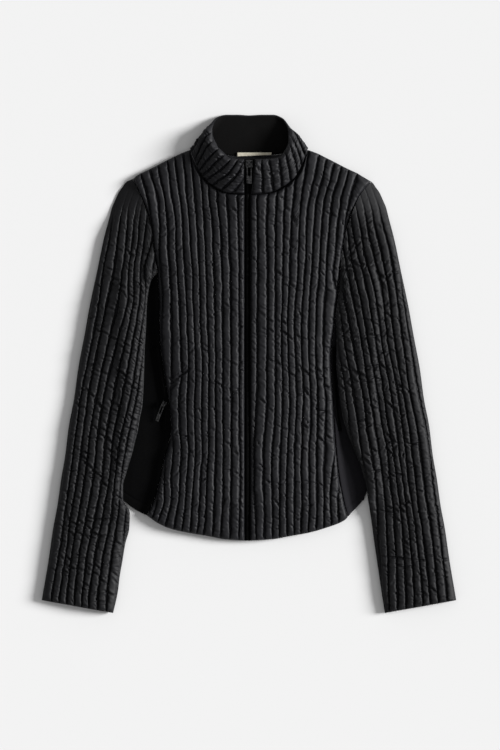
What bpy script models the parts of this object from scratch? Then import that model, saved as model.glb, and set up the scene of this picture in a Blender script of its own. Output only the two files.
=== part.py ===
"""A quilted jacket with a stand collar and a closed front zip, laid flat on its back.

The wearer's right is at -X, the hem at -Y, and the jacket lies on the plane z = 0.
Lengths are millimetres, and become metres as each mesh is made. On either side of
the jacket, out is the distance from the plane x = 0, so x is out on the left side
and -out on the right. Heights on the jacket, called y, count from 7 mm above the
elbows, and centre_on_floor moves the finished jacket to its own middle.
"""

import math
from collections import namedtuple

import bmesh
import bpy
import numpy as np
from mathutils import Matrix, Vector

MM = 0.001
COLLECTION = "quilted_jacket"

# Walls and gaps
SEAM_GAP = 0.3
BACK_WALL = 4.6  # the back and the sleeves' underside, flat where they rest
LAYER_GAP = 3.4  # between the back and the fronts
VALLEY = 2.4  # a quilted wall along its stitched lines
CROWN = 3.8  # a channel's rise above those lines
JERSEY = 1.4
SQUEEZE = 1.2  # what is left of a channel where a seam cuts it off

# Quilting
CHANNEL_PITCH = 11.0
FRONT_CHANNELS = 13
COLLAR_CHANNELS = 26
CROWN_SHARES = (0.28, 0.72)  # where across a channel its rounded top begins and ends
SEAM_RELIEF = 0.4  # share of the crown that is left where a seam presses it down
SLEEVE_CAP_RELIEF = 0.08  # the same share at the shoulder, where the sleeve is smooth
SLEEVE_CAP = (250.0, 50.0)  # where the sleeve's channels begin to rise, and over what length

# Centre-front zip
TAPE_THICK = 1.0
COIL_WIDTH = 4.4
COIL_HEIGHT = 2.0


def table(columns, *rows):
    """Rows of numbers under named columns."""
    return dict(zip(columns.split(), np.array(rows, float).T))


def pair(right, left):
    return {"right": right, "left": left}


SIGN = pair(-1, 1)
ZIP_LINE = table("y x", (-262, -2.4), (245, -2.4), (301, 0.7))
ZIP_EDGE = pair(7.0, 2.2)

# Armhole from the shoulder tip to the underarm, then the princess seam down to the hem.
SEAM = pair(
    table(
        "y out",
        (273, 172), (248, 160), (232, 154), (202, 145), (168, 141), (138, 136),
        (94, 133), (42, 132), (-29, 123), (-60, 118), (-95, 115), (-116, 118),
        (-144, 126), (-175, 133), (-196, 138), (-224, 151),
    ),
    table(
        "y out",
        (269, 181), (249, 164), (227, 154), (190, 142), (161, 137), (138, 135),
        (109, 132), (79, 128.5), (42, 124), (20, 121.5), (9, 121), (-17, 122),
        (-54, 124.5), (-91, 126.3), (-128, 129), (-165, 133), (-202, 140), (-226, 146),
    ),
)
UNDERARM_Y = 138
NECK = table("out y", (2, 249), (30, 251), (44, 256), (59, 265), (71, 277), (81, 294), (87, 316))
NECK_POINT = (87, 316)
SHOULDER = table("out y", (87, 316), (98, 312), (117, 303), (144, 289), (166, 278), (172, 273), (181, 269))
BACK_NECK = table("out y", (0, 306), (50, 309), (75, 313), (87, 315.6))
HEM = pair(
    table(
        "out y",
        (7, -262), (36, -260), (62, -255), (92, -250), (120, -243), (136, -235),
        (151, -225), (167, -217), (188, -201),
    ),
    table(
        "out y",
        (2, -262), (34, -260), (62, -255), (90, -250), (114, -243), (141, -232),
        (152, -220), (161, -211), (169, -201), (173, -191),
    ),
)
BACK_HEM_RISE = 3.0
BODY_TOP, BODY_BOTTOM = 265.0, -252.0

# The stitched lines of the fronts, counted from the zip. Where a line would pass the
# princess seam it ends at it.
FRONT_STITCHES = pair(
    table(
        "y 1 2 3 4 5 6 7 8 9 10 11 12",
        (316, 18, 36, 50, 62, 73, 86.5, 98, 111, 123, 139, 152, 168),
        (274, 18, 35, 48, 60, 71, 83, 94, 106, 117.5, 131, 143, 158),
        (242, 17, 33, 46.5, 58, 68.5, 79.5, 91.5, 101, 113, 124, 135, 149),
        (205, 15.5, 30, 42.5, 54, 66, 76.5, 88, 98.5, 108.5, 120.5, 132.5, 144),
        (168, 14.7, 29, 40.7, 52.7, 64.5, 75, 86, 97, 107.5, 119.5, 132, 141),
        (131, 14.4, 27.2, 39.4, 51, 63, 73.5, 83.5, 94.5, 105.5, 116.5, 130.5, 140),
        (94, 14.4, 27.2, 39.2, 50.5, 62, 72.5, 82.5, 92.5, 103, 114.5, 127.5, 140),
        (57, 14.4, 27, 39.2, 50, 61, 71.5, 80.7, 91, 101.5, 114.5, 130, 140),
        (20, 14.1, 26, 38, 49.5, 60, 69.7, 79.3, 90, 101, 114.5, 130, 140),
        (-17, 13.9, 26, 38.2, 48.7, 58.6, 68.8, 79, 89.4, 100, 114.7, 130, 140),
        (-54, 14.1, 26, 38, 50, 59.8, 70, 80.4, 91, 103.5, 117, 130, 140),
        (-91, 14.2, 26, 38, 49, 59.8, 70, 80, 91.2, 103, 116.5, 130, 140),
        (-128, 13.5, 26, 38, 49.3, 60, 69, 79, 88.7, 100.2, 112, 124, 140),
        (-165, 12.8, 26, 38, 49.7, 62, 71.3, 80.8, 91, 101.5, 114.8, 125, 136),
        (-202, 13.5, 26.8, 38, 51, 62.8, 73.3, 83.8, 93.8, 104, 114.7, 125, 136),
        (-235, 14.7, 27.8, 40.5, 52, 64.8, 75, 86, 97.5, 109.7, 122.4, 134, 145),
        (-262, 15, 28.5, 42, 54, 67, 78, 89, 101, 113, 126, 138, 150),
    ),
    table(
        "y 1 2 3 4 5 6 7 8 9 10 11 12",
        (316, 12, 31, 46, 60, 75, 88, 105, 118, 131, 143, 155, 168),
        (274, 12, 29, 43, 56, 69.5, 82, 96.5, 108.5, 121, 132, 144.5, 158),
        (242, 11.5, 27.7, 41, 53, 65.6, 77, 89, 100, 111.5, 123, 136.5, 149),
        (205, 12.6, 26, 39.2, 51, 62.3, 74.4, 85, 96.5, 107.3, 119, 131, 142),
        (168, 12.6, 27, 39.2, 51, 61, 73, 84.4, 94.3, 105, 116, 128, 140),
        (131, 13.2, 27.4, 39.2, 50.2, 60, 71.5, 82, 92.2, 103.5, 114.5, 125, 140),
        (94, 12.6, 27.4, 39, 49.3, 58.5, 69, 79, 89.5, 100, 112, 133, 142),
        (57, 11.6, 27.4, 39, 48, 57.3, 67, 77.4, 88, 98.5, 110, 133, 142),
        (20, 12.1, 27.4, 39, 48, 58, 68.2, 77.7, 88, 98.7, 110, 133, 142),
        (-17, 12, 26.6, 39.2, 49.6, 58.8, 69, 79.2, 89.8, 100.2, 110.7, 133, 142),
        (-54, 10.8, 26.6, 39, 49.6, 60.2, 70.6, 80.7, 91.3, 101.4, 113.5, 133, 142),
        (-91, 9.3, 24.4, 37.7, 48, 58.5, 69, 79, 91.3, 101.4, 113, 133, 142),
        (-128, 8.1, 21.5, 34.2, 46.6, 57.3, 67.3, 78, 89.2, 100, 111.7, 128, 142),
        (-165, 8.1, 21.5, 33.3, 45, 55.5, 67.3, 77.7, 89.5, 100.2, 110.7, 122, 137),
        (-202, 8.1, 22, 34.8, 45, 55.5, 67, 78, 89.2, 100.6, 110.7, 120, 131),
        (-235, 9.9, 23, 34.8, 44.8, 56.2, 67, 76.5, 87.8, 99.6, 110.7, 121.5, 133),
        (-262, 10.5, 23.5, 35, 45, 56.5, 67, 77, 88, 100, 111.5, 122.5, 134),
    ),
)

# The side panels' fold, which the sleeves cover.
FOLD = pair(
    table("y out", (133, 172), (85, 178), (-54, 172), (-150, 182), (-181, 189), (-201, 188)),
    table("y out", (133, 170), (85, 176), (-54, 170), (-130, 172), (-180, 174), (-191, 173), (-201, 169)),
)
PANEL_RISE_WIDTH = pair(16.0, 12.0)
PANEL_TOP = table("share y", (0, 134), (0.25, 124), (0.6, 112), (1, 104))
PANEL_GAP = 1.0
PANEL_SHARES = (0.38, 0.6, 0.8, 0.97)  # columns between the pocket's zip and the fold
POCKET_COLUMNS = slice(1, 4)

# The sleeves: their outer edge, their inner edge from the underarm down, and the stitched
# lines between them, counted from the outer edge. The lines run parallel to that edge
# and end where they meet the armhole.
SLEEVE_OUTER = table(
    "y out",
    (273, 172), (269, 181), (260, 188), (254, 192.4), (242, 198), (230, 203), (218, 206),
    (183, 215), (135, 225), (88, 235), (41, 243.5), (-7, 252.5), (-54, 259), (-90, 266),
    (-137, 272), (-172, 278), (-208, 283), (-243, 289.5), (-291, 296.5), (-350, 306.5),
)
SLEEVE_INNER = pair(
    table(
        "y out",
        (138, 136.4), (121, 145), (103, 149), (82, 151), (53, 152), (20, 154), (-17, 155),
        (-63, 157.5), (-82, 161.3), (-99, 164), (-116, 168.3), (-134, 172.7), (-148, 177),
        (-165, 182), (-181, 186), (-200, 186), (-221, 176), (-243, 177), (-267, 183),
        (-291, 187), (-314, 191), (-338, 194), (-369, 201),
    ),
    table(
        "y out",
        (138, 135.4), (109, 133.6), (90, 130.8), (76, 129.2), (27, 129.2), (-6, 129.4), (-22, 131),
        (-46, 133.2), (-73, 137.6), (-99, 144.2), (-122, 152.9), (-139, 160), (-151, 165),
        (-164, 168.5), (-177, 172.4), (-202, 176), (-225, 179.8), (-261, 184.7), (-304, 191),
        (-350, 197.8), (-369, 201),
    ),
)
SLEEVE_STITCHES = pair(
    table(
        "y 1 2 3 4 5 6 7 8 9",
        (262, 190, 176, 167, 156, 149, 138, 129, 118, 110),
        (230, 199, 187, 178, 167, 160, 149, 139, 128, 120),
        (183, 207, 194, 181, 172, 164, 155, 144, 133, 125),
        (135, 216, 200, 187, 178, 170, 161, 155, 143, 130),
        (109, 219, 206, 190, 178, 170, 161, 153, 144, 134),
        (27, 233, 223, 209, 196, 184, 173, 163, 155, 146),
        (-47, 248, 237, 225, 214, 200, 187, 175, 166, 158),
        (-112, 257, 246, 236, 224, 212, 201, 190, 179, 169),
        (-167, 264, 253, 242, 230, 217, 206, 198, 189, 178),
        (-230, 273, 264, 253, 241, 228, 217, 204, 194, 183),
        (-276, 280, 270, 261, 250, 238, 226, 214, 202, 187),
        (-344, 291, 280, 269, 258, 247, 237, 224, 211, 197),
    ),
    table(
        "y 1 2 3 4 5 6 7 8 9 10 11",
        (262, 196, 181, 170, 160, 147, 137, 126, 116, 105, 95, 85),
        (233, 203, 191, 180, 169, 157, 147, 136, 126, 115, 105, 95),
        (198, 213, 200, 187, 176, 165, 153, 145, 135, 124, 113, 103),
        (161, 221, 209, 196, 184, 171, 161, 150, 141, 131, 120, 110),
        (109, 226, 217, 206, 196, 185, 174, 162, 151, 139, 129, 119),
        (27, 239, 228, 216, 206, 197, 188, 177, 167, 154, 142, 131),
        (-45, 251, 238, 228, 220, 210, 199, 190, 178, 168, 154, 143),
        (-98, 262, 249, 237, 227, 218, 207, 198, 187, 175, 162, 149),
        (-135, 267, 253, 241, 232, 222, 214, 206, 193, 181, 167, 155),
        (-172, 271, 258, 246, 235, 227, 218, 208, 198, 187, 173, 160),
        (-202, 275, 262, 249, 240, 231, 222, 212, 201, 189, 175, 160),
        (-261, 283, 271, 258, 248, 238, 228, 216, 204, 191, 175, 160),
        (-313, 289, 276, 264, 254, 243, 231, 219, 206, 195, 175, 160),
        (-350, 293, 280, 268, 257, 244, 232, 220, 207, 195, 175, 160),
    ),
)
CUFF = ((201, 306.5), (-369, -350))  # the distances and heights of its two ends
SLEEVE_TOP, SLEEVE_BOTTOM = 200.0, -360.0
ABOVE_UNDERARM = 0.6  # how fast the inner line runs on inwards above the underarm
ARMHOLE_GAP = 0.4  # SEAM_GAP, measured level across the slanting armhole
SLEEVE_MID = 7.0  # height of a sleeve's side edge above what it lies on
SLEEVE_LOFT = 3.0  # how much thicker a sleeve is below the armhole than at it
SLEEVE_LOFT_TOP, SLEEVE_LOFT_FADE = 198.0, 120.0
SLEEVE_EDGE = 3.2
SLEEVE_OVER_PANEL = 2.0
SLEEVE_DOME = 2.6

# The collar, from the zip round one side to the middle of the back.
COLLAR = table(
    "base_right base_left base_y base_z rim_right rim_left rim_y rim_z",
    (7.0, 3.2, 250.4, 19.5, 7.0, 8.4, 301, 31.0),
    (32, 29, 252.5, 18.0, 20, 24, 301.5, 31.0),
    (49, 47, 260.5, 15.5, 32, 43, 304, 31.0),
    (62.5, 61.5, 270.5, 13.0, 41, 53, 314, 30.0),
    (73.5, 73, 286.5, 11.5, 53.5, 59, 329, 26.5),
    (80.5, 80.5, 301.5, 10.4, 55.5, 58.5, 346, 20.0),
    (85.5, 85.0, 312.0, 9.0, 54, 55, 355, 14.0),
    (82.5, 82.0, 317.5, 3.8, 47.5, 48.0, 363.5, 7.5),
    (68, 68, 315.0, 1.2, 34, 35.5, 368, 2.8),
    (45, 45, 310.5, 1.2, 17, 19, 368, 2.0),
    (0, 0, 307.5, 1.2, 0, 0, 367, 1.6),
)
COLLAR_BULGE = 2.2
COLLAR_CUT = 2  # stitched lines that start at the zip's edge on the right
COLLAR_SLANT_REACH = 8.0  # channels round from the zip, over which the slant is lost
COLLAR_SQUEEZE = 0.04
FACING_WALL = 1.2
FACING_FROM_ZIP = 2  # channels of the collar that the facing leaves free beside the zip
LABEL_SIZE = (51.0, 5.8, 0.8)
LABEL_PLACE = (7.9, 309.1, 5.2)
LABEL_TAPER = 0.4

# Extra height of the fronts under the open neck
NECK_LIFT = 11.0
NECK_LIFT_REACH = (60.0, 55.0)
NECK_LIFT_Y = 262.0
SHOULDER_ROUNDING = 25.0

# Loft of the fronts over the body: its height, how full it stays towards the seams, and
# where it runs out towards the hem and the neck.
LOFT = 8.0
LOFT_POWER = 3.5
LOFT_HEM = (-265.0, 75.0)
LOFT_NECK = (140.0, 100.0)

Pull = namedtuple("Pull", "width length thick window_width window_length bar")
Slider = namedtuple(
    "Slider", "width length height bridge_width bridge_length bridge_height strap axis_height"
)
FRONT_SLIDER = Slider(10.0, 11.0, 2.6, 2.0, 8.6, 3.2, 0.8, 1.2)
FRONT_PULL = Pull(7.6, 30.0, 1.3, 4.2, 17.0, 1.3)
FRONT_SLIDER_Y = 295.0
POCKET_SLIDER = Slider(6.4, 8.0, 2.0, 1.6, 6.8, 2.8, 0.7, 1.05)
POCKET_PULL = Pull(5.6, 28.0, 1.1, 2.8, 15.0, 1.1)
POCKET_SLIDER_Y = -60.0
POCKET_PULL_ALONG = (-0.46, -0.89)

# The line of a pocket's zip, away from the seam, and the seam heights at its ends.
POCKET_LINE = pair(
    table(
        "y away",
        (134, 4.5), (22, 5.0), (-20, 5.0), (-57, 5.5), (-80, 8.0), (-98, 10.5), (-145, 9.0), (-225, 5.0),
    ),
    table("y away", (134, 3.4), (22, 3.4), (-57, 3.4), (-76, 4.2), (-86, 5.4), (-98, 7.2), (-145, 7.2), (-226, 5.0)),
)
POCKET_ENDS = (25.0, -100.0)
POCKET_ZIP_WIDTH = 4.6
POCKET_ZIP_THICK = 1.0


# ---------------------------------------------------------------- curves and meshes


def smooth_line(keys, values, at):
    """A smooth line through the rows that never overshoots them, read at any places."""
    keys, values = np.asarray(keys, float), np.asarray(values, float)
    if keys[0] > keys[-1]:
        keys, values = keys[::-1], values[::-1]
    steps = np.diff(keys)
    slopes = np.diff(values) / steps
    tangents = np.concatenate([slopes[:1], np.zeros(len(keys) - 2), slopes[-1:]])
    before, after = slopes[:-1], slopes[1:]
    bends = before * after > 0
    weight = (2 * steps[1:] + steps[:-1])[bends], (steps[1:] + 2 * steps[:-1])[bends]
    tangents[1:-1][bends] = sum(weight) / (weight[0] / before[bends] + weight[1] / after[bends])
    at = np.clip(at, keys[0], keys[-1])
    i = np.clip(np.searchsorted(keys, at) - 1, 0, len(steps) - 1)
    t = (at - keys[i]) / steps[i]
    rise = t * t * (3 - 2 * t)
    bow = (t * (1 - t) ** 2 * tangents[i] - t * t * (1 - t) * tangents[i + 1]) * steps[i]
    return values[i] * (1 - rise) + values[i + 1] * rise + bow


def read(rows, key, column, at):
    return smooth_line(rows[key], rows[column], at)


def ease(x):
    """0 below 0, 1 above 1 and smooth between."""
    x = np.clip(x, 0, 1)
    return x * x * (3 - 2 * x)


def points(*parts):
    return np.stack(np.broadcast_arrays(*parts), axis=-1).astype(float)


def normals_of(grid):
    """Unit normals of a grid of points, rows by columns."""
    normal = np.cross(np.gradient(grid, axis=0), np.gradient(grid, axis=1))
    return normal / np.linalg.norm(normal, axis=-1, keepdims=True)


def bridge(first, first_at, second, second_at):
    """Triangles between two lines of vertices that run side by side."""
    faces, i, j = [], 0, 0
    while i < len(first) - 1 or j < len(second) - 1:
        ahead = j == len(second) - 1 or (i < len(first) - 1 and first_at[i + 1] <= second_at[j + 1])
        if ahead:
            faces.append((first[i], first[i + 1], second[j]))
            i += 1
        else:
            faces.append((first[i], second[j + 1], second[j]))
            j += 1
    return faces


def grid_faces(index, closed=False):
    """Triangles between the rows of a grid of vertex numbers, split alike on every grid."""
    if closed:
        index = np.concatenate([index, index[:, :1]], axis=1)
    a, b, c, d = index[:-1, :-1], index[:-1, 1:], index[1:, 1:], index[1:, :-1]
    return np.stack([a, b, c, a, c, d], axis=-1).reshape(-1, 3).tolist()


def put_in_scene(name, vertices, faces, material):
    """A mesh object of points in millimetres, its faces turned outwards."""
    mesh = bpy.data.meshes.new(name)
    mesh.from_pydata((np.asarray(vertices) * MM).tolist(), [], faces)
    work = bmesh.new()
    work.from_mesh(mesh)
    bmesh.ops.recalc_face_normals(work, faces=work.faces)
    work.to_mesh(mesh)
    work.free()
    mesh.materials.append(material)
    mesh.shade_smooth()
    mesh.set_sharp_from_angle(angle=math.radians(50))
    piece = bpy.data.objects.new(name, mesh)
    bpy.data.collections[COLLECTION].objects.link(piece)
    return piece


def make_wall(name, outer, inner, material, outer_at=None, inner_at=None):
    """A sheet of cloth between an outer and an inner grid that share their rows."""
    outer_at = np.linspace(0, 1, outer.shape[1]) if outer_at is None else outer_at
    inner_at = np.linspace(0, 1, inner.shape[1]) if inner_at is None else inner_at
    out = np.arange(outer[..., 0].size).reshape(outer.shape[:2])
    inn = np.arange(inner[..., 0].size).reshape(inner.shape[:2]) + out.size
    faces = grid_faces(out) + grid_faces(inn)
    for row in (0, -1):
        faces += bridge(out[row], outer_at, inn[row], inner_at)
    down = np.arange(len(out))
    for column in (0, -1):
        faces += bridge(out[:, column], down, inn[:, column], down)
    vertices = np.concatenate([outer.reshape(-1, 3), inner.reshape(-1, 3)])
    return put_in_scene(name, vertices, faces, material)


def make_tube(name, outer, inner, material, outer_at, inner_at):
    """A tube of cloth, open at both ends, between two grids whose rows are rings."""
    out = np.arange(outer[..., 0].size).reshape(outer.shape[:2])
    inn = np.arange(inner[..., 0].size).reshape(inner.shape[:2]) + out.size
    faces = grid_faces(out, closed=True) + grid_faces(inn, closed=True)
    for row in (0, -1):
        faces += bridge(
            np.append(out[row], out[row][0]), np.append(outer_at, outer_at[0] + 1),
            np.append(inn[row], inn[row][0]), np.append(inner_at, inner_at[0] + 1),
        )
    vertices = np.concatenate([outer.reshape(-1, 3), inner.reshape(-1, 3)])
    return put_in_scene(name, vertices, faces, material)


def make_material(name, colour, roughness, metallic=0.0):
    material = bpy.data.materials.new(name)
    material.use_nodes = True
    shader = material.node_tree.nodes["Principled BSDF"]
    shader.inputs["Base Color"].default_value = (*colour, 1.0)
    shader.inputs["Roughness"].default_value = roughness
    shader.inputs["Metallic"].default_value = metallic
    return material


# ---------------------------------------------------------------- quilting


def quilt_columns(channels):
    """Where the columns of a quilted wall stand, in channels, and how far each rises."""
    places, rises = [0.0], [0.0]
    for channel in range(channels):
        places += [channel + share for share in CROWN_SHARES] + [channel + 1.0]
        rises += [1.0, 1.0, 0.0]
    return np.array(places), np.array(rises)


def between_lines(lines, place):
    """Distance and channel width at each place, counted in channels, from the stitched
    lines' distances, whose first axis counts the lines."""
    channel = np.clip(np.floor(place).astype(int), 0, len(lines) - 2)
    low = np.take_along_axis(lines, channel[None, ...], axis=0)[0]
    high = np.take_along_axis(lines, channel[None, ...] + 1, axis=0)[0]
    return low + (place - channel) * (high - low), high - low


def stitched_lines(stitches, start, end, y):
    """Distances from x = 0 of a start, the stitched lines of a table and an end, at the
    heights y. Lines that run into the start or the end are squeezed together there."""
    names = [name for name in stitches if name != "y"]
    step = SQUEEZE * np.sign(end - start)
    lines = [start]
    for number, name in enumerate(names, 1):
        first, last = start + step * number, end - step * (len(names) + 1 - number)
        line = read(stitches, "y", name, y)
        lines.append(np.clip(line, np.minimum(first, last), np.maximum(first, last)))
    return np.array([*lines, end])


def crown_height(width):
    return CROWN * np.clip(width / CHANNEL_PITCH, 0, 1)


def pressed(from_seam, reach):
    """Share of the crown that is left at a distance from a seam across the channels."""
    return SEAM_RELIEF + (1 - SEAM_RELIEF) * ease(from_seam / reach)


# ---------------------------------------------------------------- fronts and back


def top_line(out):
    """Height of the fronts' top edge: the neck seam, then the shoulder seam."""
    neck = read(NECK, "out", "y", out)
    shoulder = read(SHOULDER, "out", "y", out)
    return np.where(out < NECK_POINT[0], neck, shoulder)


def front_lines(side, y):
    """How far a front's zip edge, stitched lines and princess seam are from x = 0."""
    seam = read(SEAM[side], "y", "out", y) - SEAM_GAP / 2
    return stitched_lines(FRONT_STITCHES[side], np.full_like(seam, ZIP_EDGE[side]), seam, y)


def row_height(down, top, bottom):
    """Height of a row of the body: level at mid-body, along the edges at its ends."""
    level = BODY_TOP + (BODY_BOTTOM - BODY_TOP) * down
    return level + (top - BODY_TOP) * (1 - down) ** 4 + (bottom - BODY_BOTTOM) * down**6


def front_plan(side, place, down):
    """Plan position of points on a front: place in channels from the zip, down from 0
    at the neck and shoulder to 1 at the hem. Also gives the channel's width there."""
    top, bottom = np.full_like(place, BODY_TOP), np.full_like(place, BODY_BOTTOM)
    for _ in range(6):
        top = top_line(between_lines(front_lines(side, top), place)[0]) - SEAM_GAP / 2
        bottom = read(HEM[side], "out", "y", between_lines(front_lines(side, bottom), place)[0])
    y = row_height(down, top, bottom)
    out, width = between_lines(front_lines(side, y), place)
    return out, y, width


def body_loft(side, out, y):
    """How far a front is puffed up over mid-body, from its seam to the zip."""
    share = np.clip(out / read(SEAM[side], "y", "out", y), 0, 1)
    (hem, above_hem), (neck, to_neck) = LOFT_HEM, LOFT_NECK
    along = ease((y - hem) / above_hem) * (1 - ease((y - neck) / to_neck))
    return LOFT * (1 - share**LOFT_POWER) * along


def front_inside(side, out, y):
    """Height of the fronts' plain inside above the floor."""
    slope = (NECK_POINT[1] - SHOULDER["y"][-1]) / (SHOULDER["out"][-1] - NECK_POINT[0])
    from_shoulder = (NECK_POINT[1] - slope * (out - NECK_POINT[0]) - y) / math.hypot(1, slope)
    across, along = NECK_LIFT_REACH
    lift = NECK_LIFT * np.exp(-((out / across) ** 2) - ((y - NECK_LIFT_Y) / along) ** 2)
    opened = ease(from_shoulder / SHOULDER_ROUNDING)
    return BACK_WALL + SEAM_GAP + opened * (LAYER_GAP - SEAM_GAP + lift + body_loft(side, out, y))


FRONT_ROWS = np.array(
    [
        0, 0.014, 0.04, 0.075, 0.115, 0.16, 0.21, 0.27, 0.34, 0.41, 0.47,
        0.53, 0.59, 0.645, 0.7, 0.76, 0.83, 0.89, 0.94, 0.986, 1,
    ]
)


def seam_corners(side):
    """The corners of a front's outermost edge, from the shoulder tip to the hem."""
    out, y, _ = front_plan(side, np.full(FRONT_ROWS.shape, float(FRONT_CHANNELS)), FRONT_ROWS)
    return points(out, y)


def seam_at(side, y):
    """Distance of the seam from x = 0, along the straight lines between its corners."""
    corners = seam_corners(side)[::-1]
    return np.interp(y, corners[:, 1], corners[:, 0])


def make_front(side, material):
    places, rises = quilt_columns(FRONT_CHANNELS)
    place, down = np.meshgrid(places, FRONT_ROWS)
    out, y, width = front_plan(side, place, down)
    rise = rises * crown_height(width) * pressed(np.minimum(down, 1 - down), 0.012)
    top = front_inside(side, out, y) + VALLEY + rise
    outer = points(SIGN[side] * out, y, top)
    plain = slice(None, None, len(CROWN_SHARES) + 1)
    inner = points(SIGN[side] * out, y, front_inside(side, out, y))[:, plain]
    make_wall(f"front_{side}", outer, inner, material, places, places[plain])


def back_across(share, y):
    """Position across the back: share from -1 at the right seam to 1 at the left."""
    right, left = (read(SEAM[side], "y", "out", y) - SEAM_GAP / 2 for side in ("right", "left"))
    return share * np.where(share < 0, right, left)


def back_top(x):
    out = np.abs(x)
    neck = read(BACK_NECK, "out", "y", out)
    shoulder = read(SHOULDER, "out", "y", out)
    return np.where(out < NECK_POINT[0], neck, shoulder) - SEAM_GAP / 2


def back_bottom(x):
    hems = (read(HEM[side], "out", "y", np.abs(x)) for side in ("right", "left"))
    return np.where(x < 0, *hems) + BACK_HEM_RISE


def back_plan(share, down):
    """Plan position on the back, down from 0 at the neck and shoulders to 1 at the hem."""
    top, bottom = np.full_like(share, BODY_TOP), np.full_like(share, BODY_BOTTOM)
    for _ in range(6):
        top, bottom = back_top(back_across(share, top)), back_bottom(back_across(share, bottom))
    y = row_height(down, top, bottom)
    return back_across(share, y), y


def make_back(material):
    shares = np.array([0, 0.19, 0.36, 0.49, 0.64, 0.82, 1])
    share, down = np.meshgrid(np.concatenate([-shares[:0:-1], shares]), FRONT_ROWS)
    x, y = back_plan(share, down)
    make_wall("back", points(x, y, BACK_WALL), points(x, y, 0.0), material)


# ---------------------------------------------------------------- side panels


def panel_top(side, out, y):
    """Height of a side panel's upper layer above the floor."""
    flat = 2 * JERSEY + PANEL_GAP
    seam_height = BACK_WALL + LAYER_GAP + JERSEY + 0.6
    from_seam = out - read(SEAM[side], "y", "out", y)
    return flat + (seam_height - flat) * (1 - ease(from_seam / PANEL_RISE_WIDTH[side]))


def panel_rows(side):
    """Rows down a side panel, from 0 at the underarm to 1 at the hem, at the seam's corners."""
    y, start, first_step = seam_corners(side)[:, 1], PANEL_TOP["y"][0], 8
    return np.append(0.0, (start - y[y < start - first_step]) / (start - y[-1]))


def panel_column(side, column, y):
    """Distance from x = 0 of the columns of a side panel: the seam, the two edges and
    the middle of the pocket's zip, then shares of the way to the fold."""
    seam = seam_at(side, y) + SEAM_GAP
    pocket = read(POCKET_LINE[side], "y", "away", y)
    half = POCKET_ZIP_WIDTH / 2
    fold = read(FOLD[side], "y", "out", y)
    columns = [seam, seam + pocket - half, seam + pocket, seam + pocket + half]
    columns += [seam + share * (fold - seam) for share in PANEL_SHARES]
    return np.take_along_axis(np.array(columns), column[None, ...], axis=0)[0]


def panel_plan(side, column, down):
    """Plan position on a side panel's layers, down from 0 at the underarm to 1 at the hem."""
    middle = read(PANEL_TOP, "share", "y", 0.5)
    out = panel_column(side, column, np.full(down.shape, middle))
    for _ in range(12):
        seam = seam_at(side, middle)
        share = np.clip((out - seam) / (read(FOLD[side], "y", "out", middle) - seam), 0, 1)
        top = read(PANEL_TOP, "share", "y", np.where(column == 0, 0.0, share))
        bottom = read(HEM[side], "out", "y", out)
        bottom = np.where(column == 0, seam_corners(side)[-1, 1], bottom)
        y = top + down * (bottom - top)
        out = panel_column(side, column, y)
    return out, y


def panel_grid(side, depth):
    """Points on a side panel, depth under its outer face: the upper layer from the seam
    to the fold, round the fold, and the lower layer back to the seam."""
    column, down = np.meshgrid(np.arange(4 + len(PANEL_SHARES)), panel_rows(side))
    out, y = panel_plan(side, column, down)
    upper = points(SIGN[side] * out, y, panel_top(side, out, y) - depth)
    lower = points(SIGN[side] * out, y, depth)[:, ::-1]
    radius = (2 * JERSEY + PANEL_GAP) / 2
    bends = []
    for angle in np.radians([50, 0, -50]):
        bend = lower[:, 0].copy()
        bend[:, 0] += SIGN[side] * (radius - depth) * math.cos(angle)
        bend[:, 2] = radius + (radius - depth) * math.sin(angle)
        bends.append(bend)
    return np.concatenate([upper, np.stack(bends, axis=1), lower], axis=1)


def make_side_panel(side, material):
    make_wall(f"side_panel_{side}", panel_grid(side, 0.0), panel_grid(side, JERSEY), material)


def make_pocket_zip(side, material):
    """The closed zip of a pocket, made from the side panel's points beside the seam."""
    panel = panel_grid(side, 0.0)
    along = (panel[:, 0, 1] < POCKET_ENDS[0]) & (panel[:, 0, 1] > POCKET_ENDS[1])
    strip = panel[along, POCKET_COLUMNS]
    normal = SIGN[side] * normals_of(strip)
    bottom = strip + normal * SEAM_GAP
    make_wall(f"pocket_zip_{side}", bottom + normal * POCKET_ZIP_THICK, bottom, material)


# ---------------------------------------------------------------- sleeves


def falls(distance, start, length):
    """1 up to the start and 0 from a length beyond it."""
    return 1 - ease((distance - start) / length)


def sleeve_lift(side, out, y):
    """How far a sleeve is raised where it lies over the side panel's fold."""
    beyond_fold = falls(out - read(FOLD[side], "y", "out", y), 8, 18)
    below_hem = falls(read(HEM[side], "out", "y", out) - y, 10, 35)
    above_panel = falls(y - PANEL_TOP["y"][0], 4, 25)
    return (2 * JERSEY + PANEL_GAP + 2 * SEAM_GAP) * beyond_fold * below_hem * above_panel


def sleeve_inner(side, y):
    """Distance of a sleeve's inner edge from x = 0, carried on inwards above the underarm."""
    below = read(SLEEVE_INNER[side], "y", "out", y)
    return below - ABOVE_UNDERARM * np.maximum(y - UNDERARM_Y, 0)


def sleeve_lines(side, y):
    """How far a sleeve's outer edge, stitched lines and inner edge are from x = 0."""
    outer = read(SLEEVE_OUTER, "y", "out", y)
    return stitched_lines(SLEEVE_STITCHES[side], outer, sleeve_inner(side, y), y)


def stitched_columns(side, places):
    """The distances of a sleeve's columns at places counted in channels, as a function of
    their heights."""
    return lambda y: between_lines(sleeve_lines(side, y), np.broadcast_to(places, y.shape))[0]


def plain_columns(side, across, inset):
    """The same for columns at shares of the way between the two edges moved in."""
    def out_at(y):
        outer, inner = read(SLEEVE_OUTER, "y", "out", y) - inset, sleeve_inner(side, y) + inset
        return outer + across * (inner - outer)
    return out_at


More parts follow.
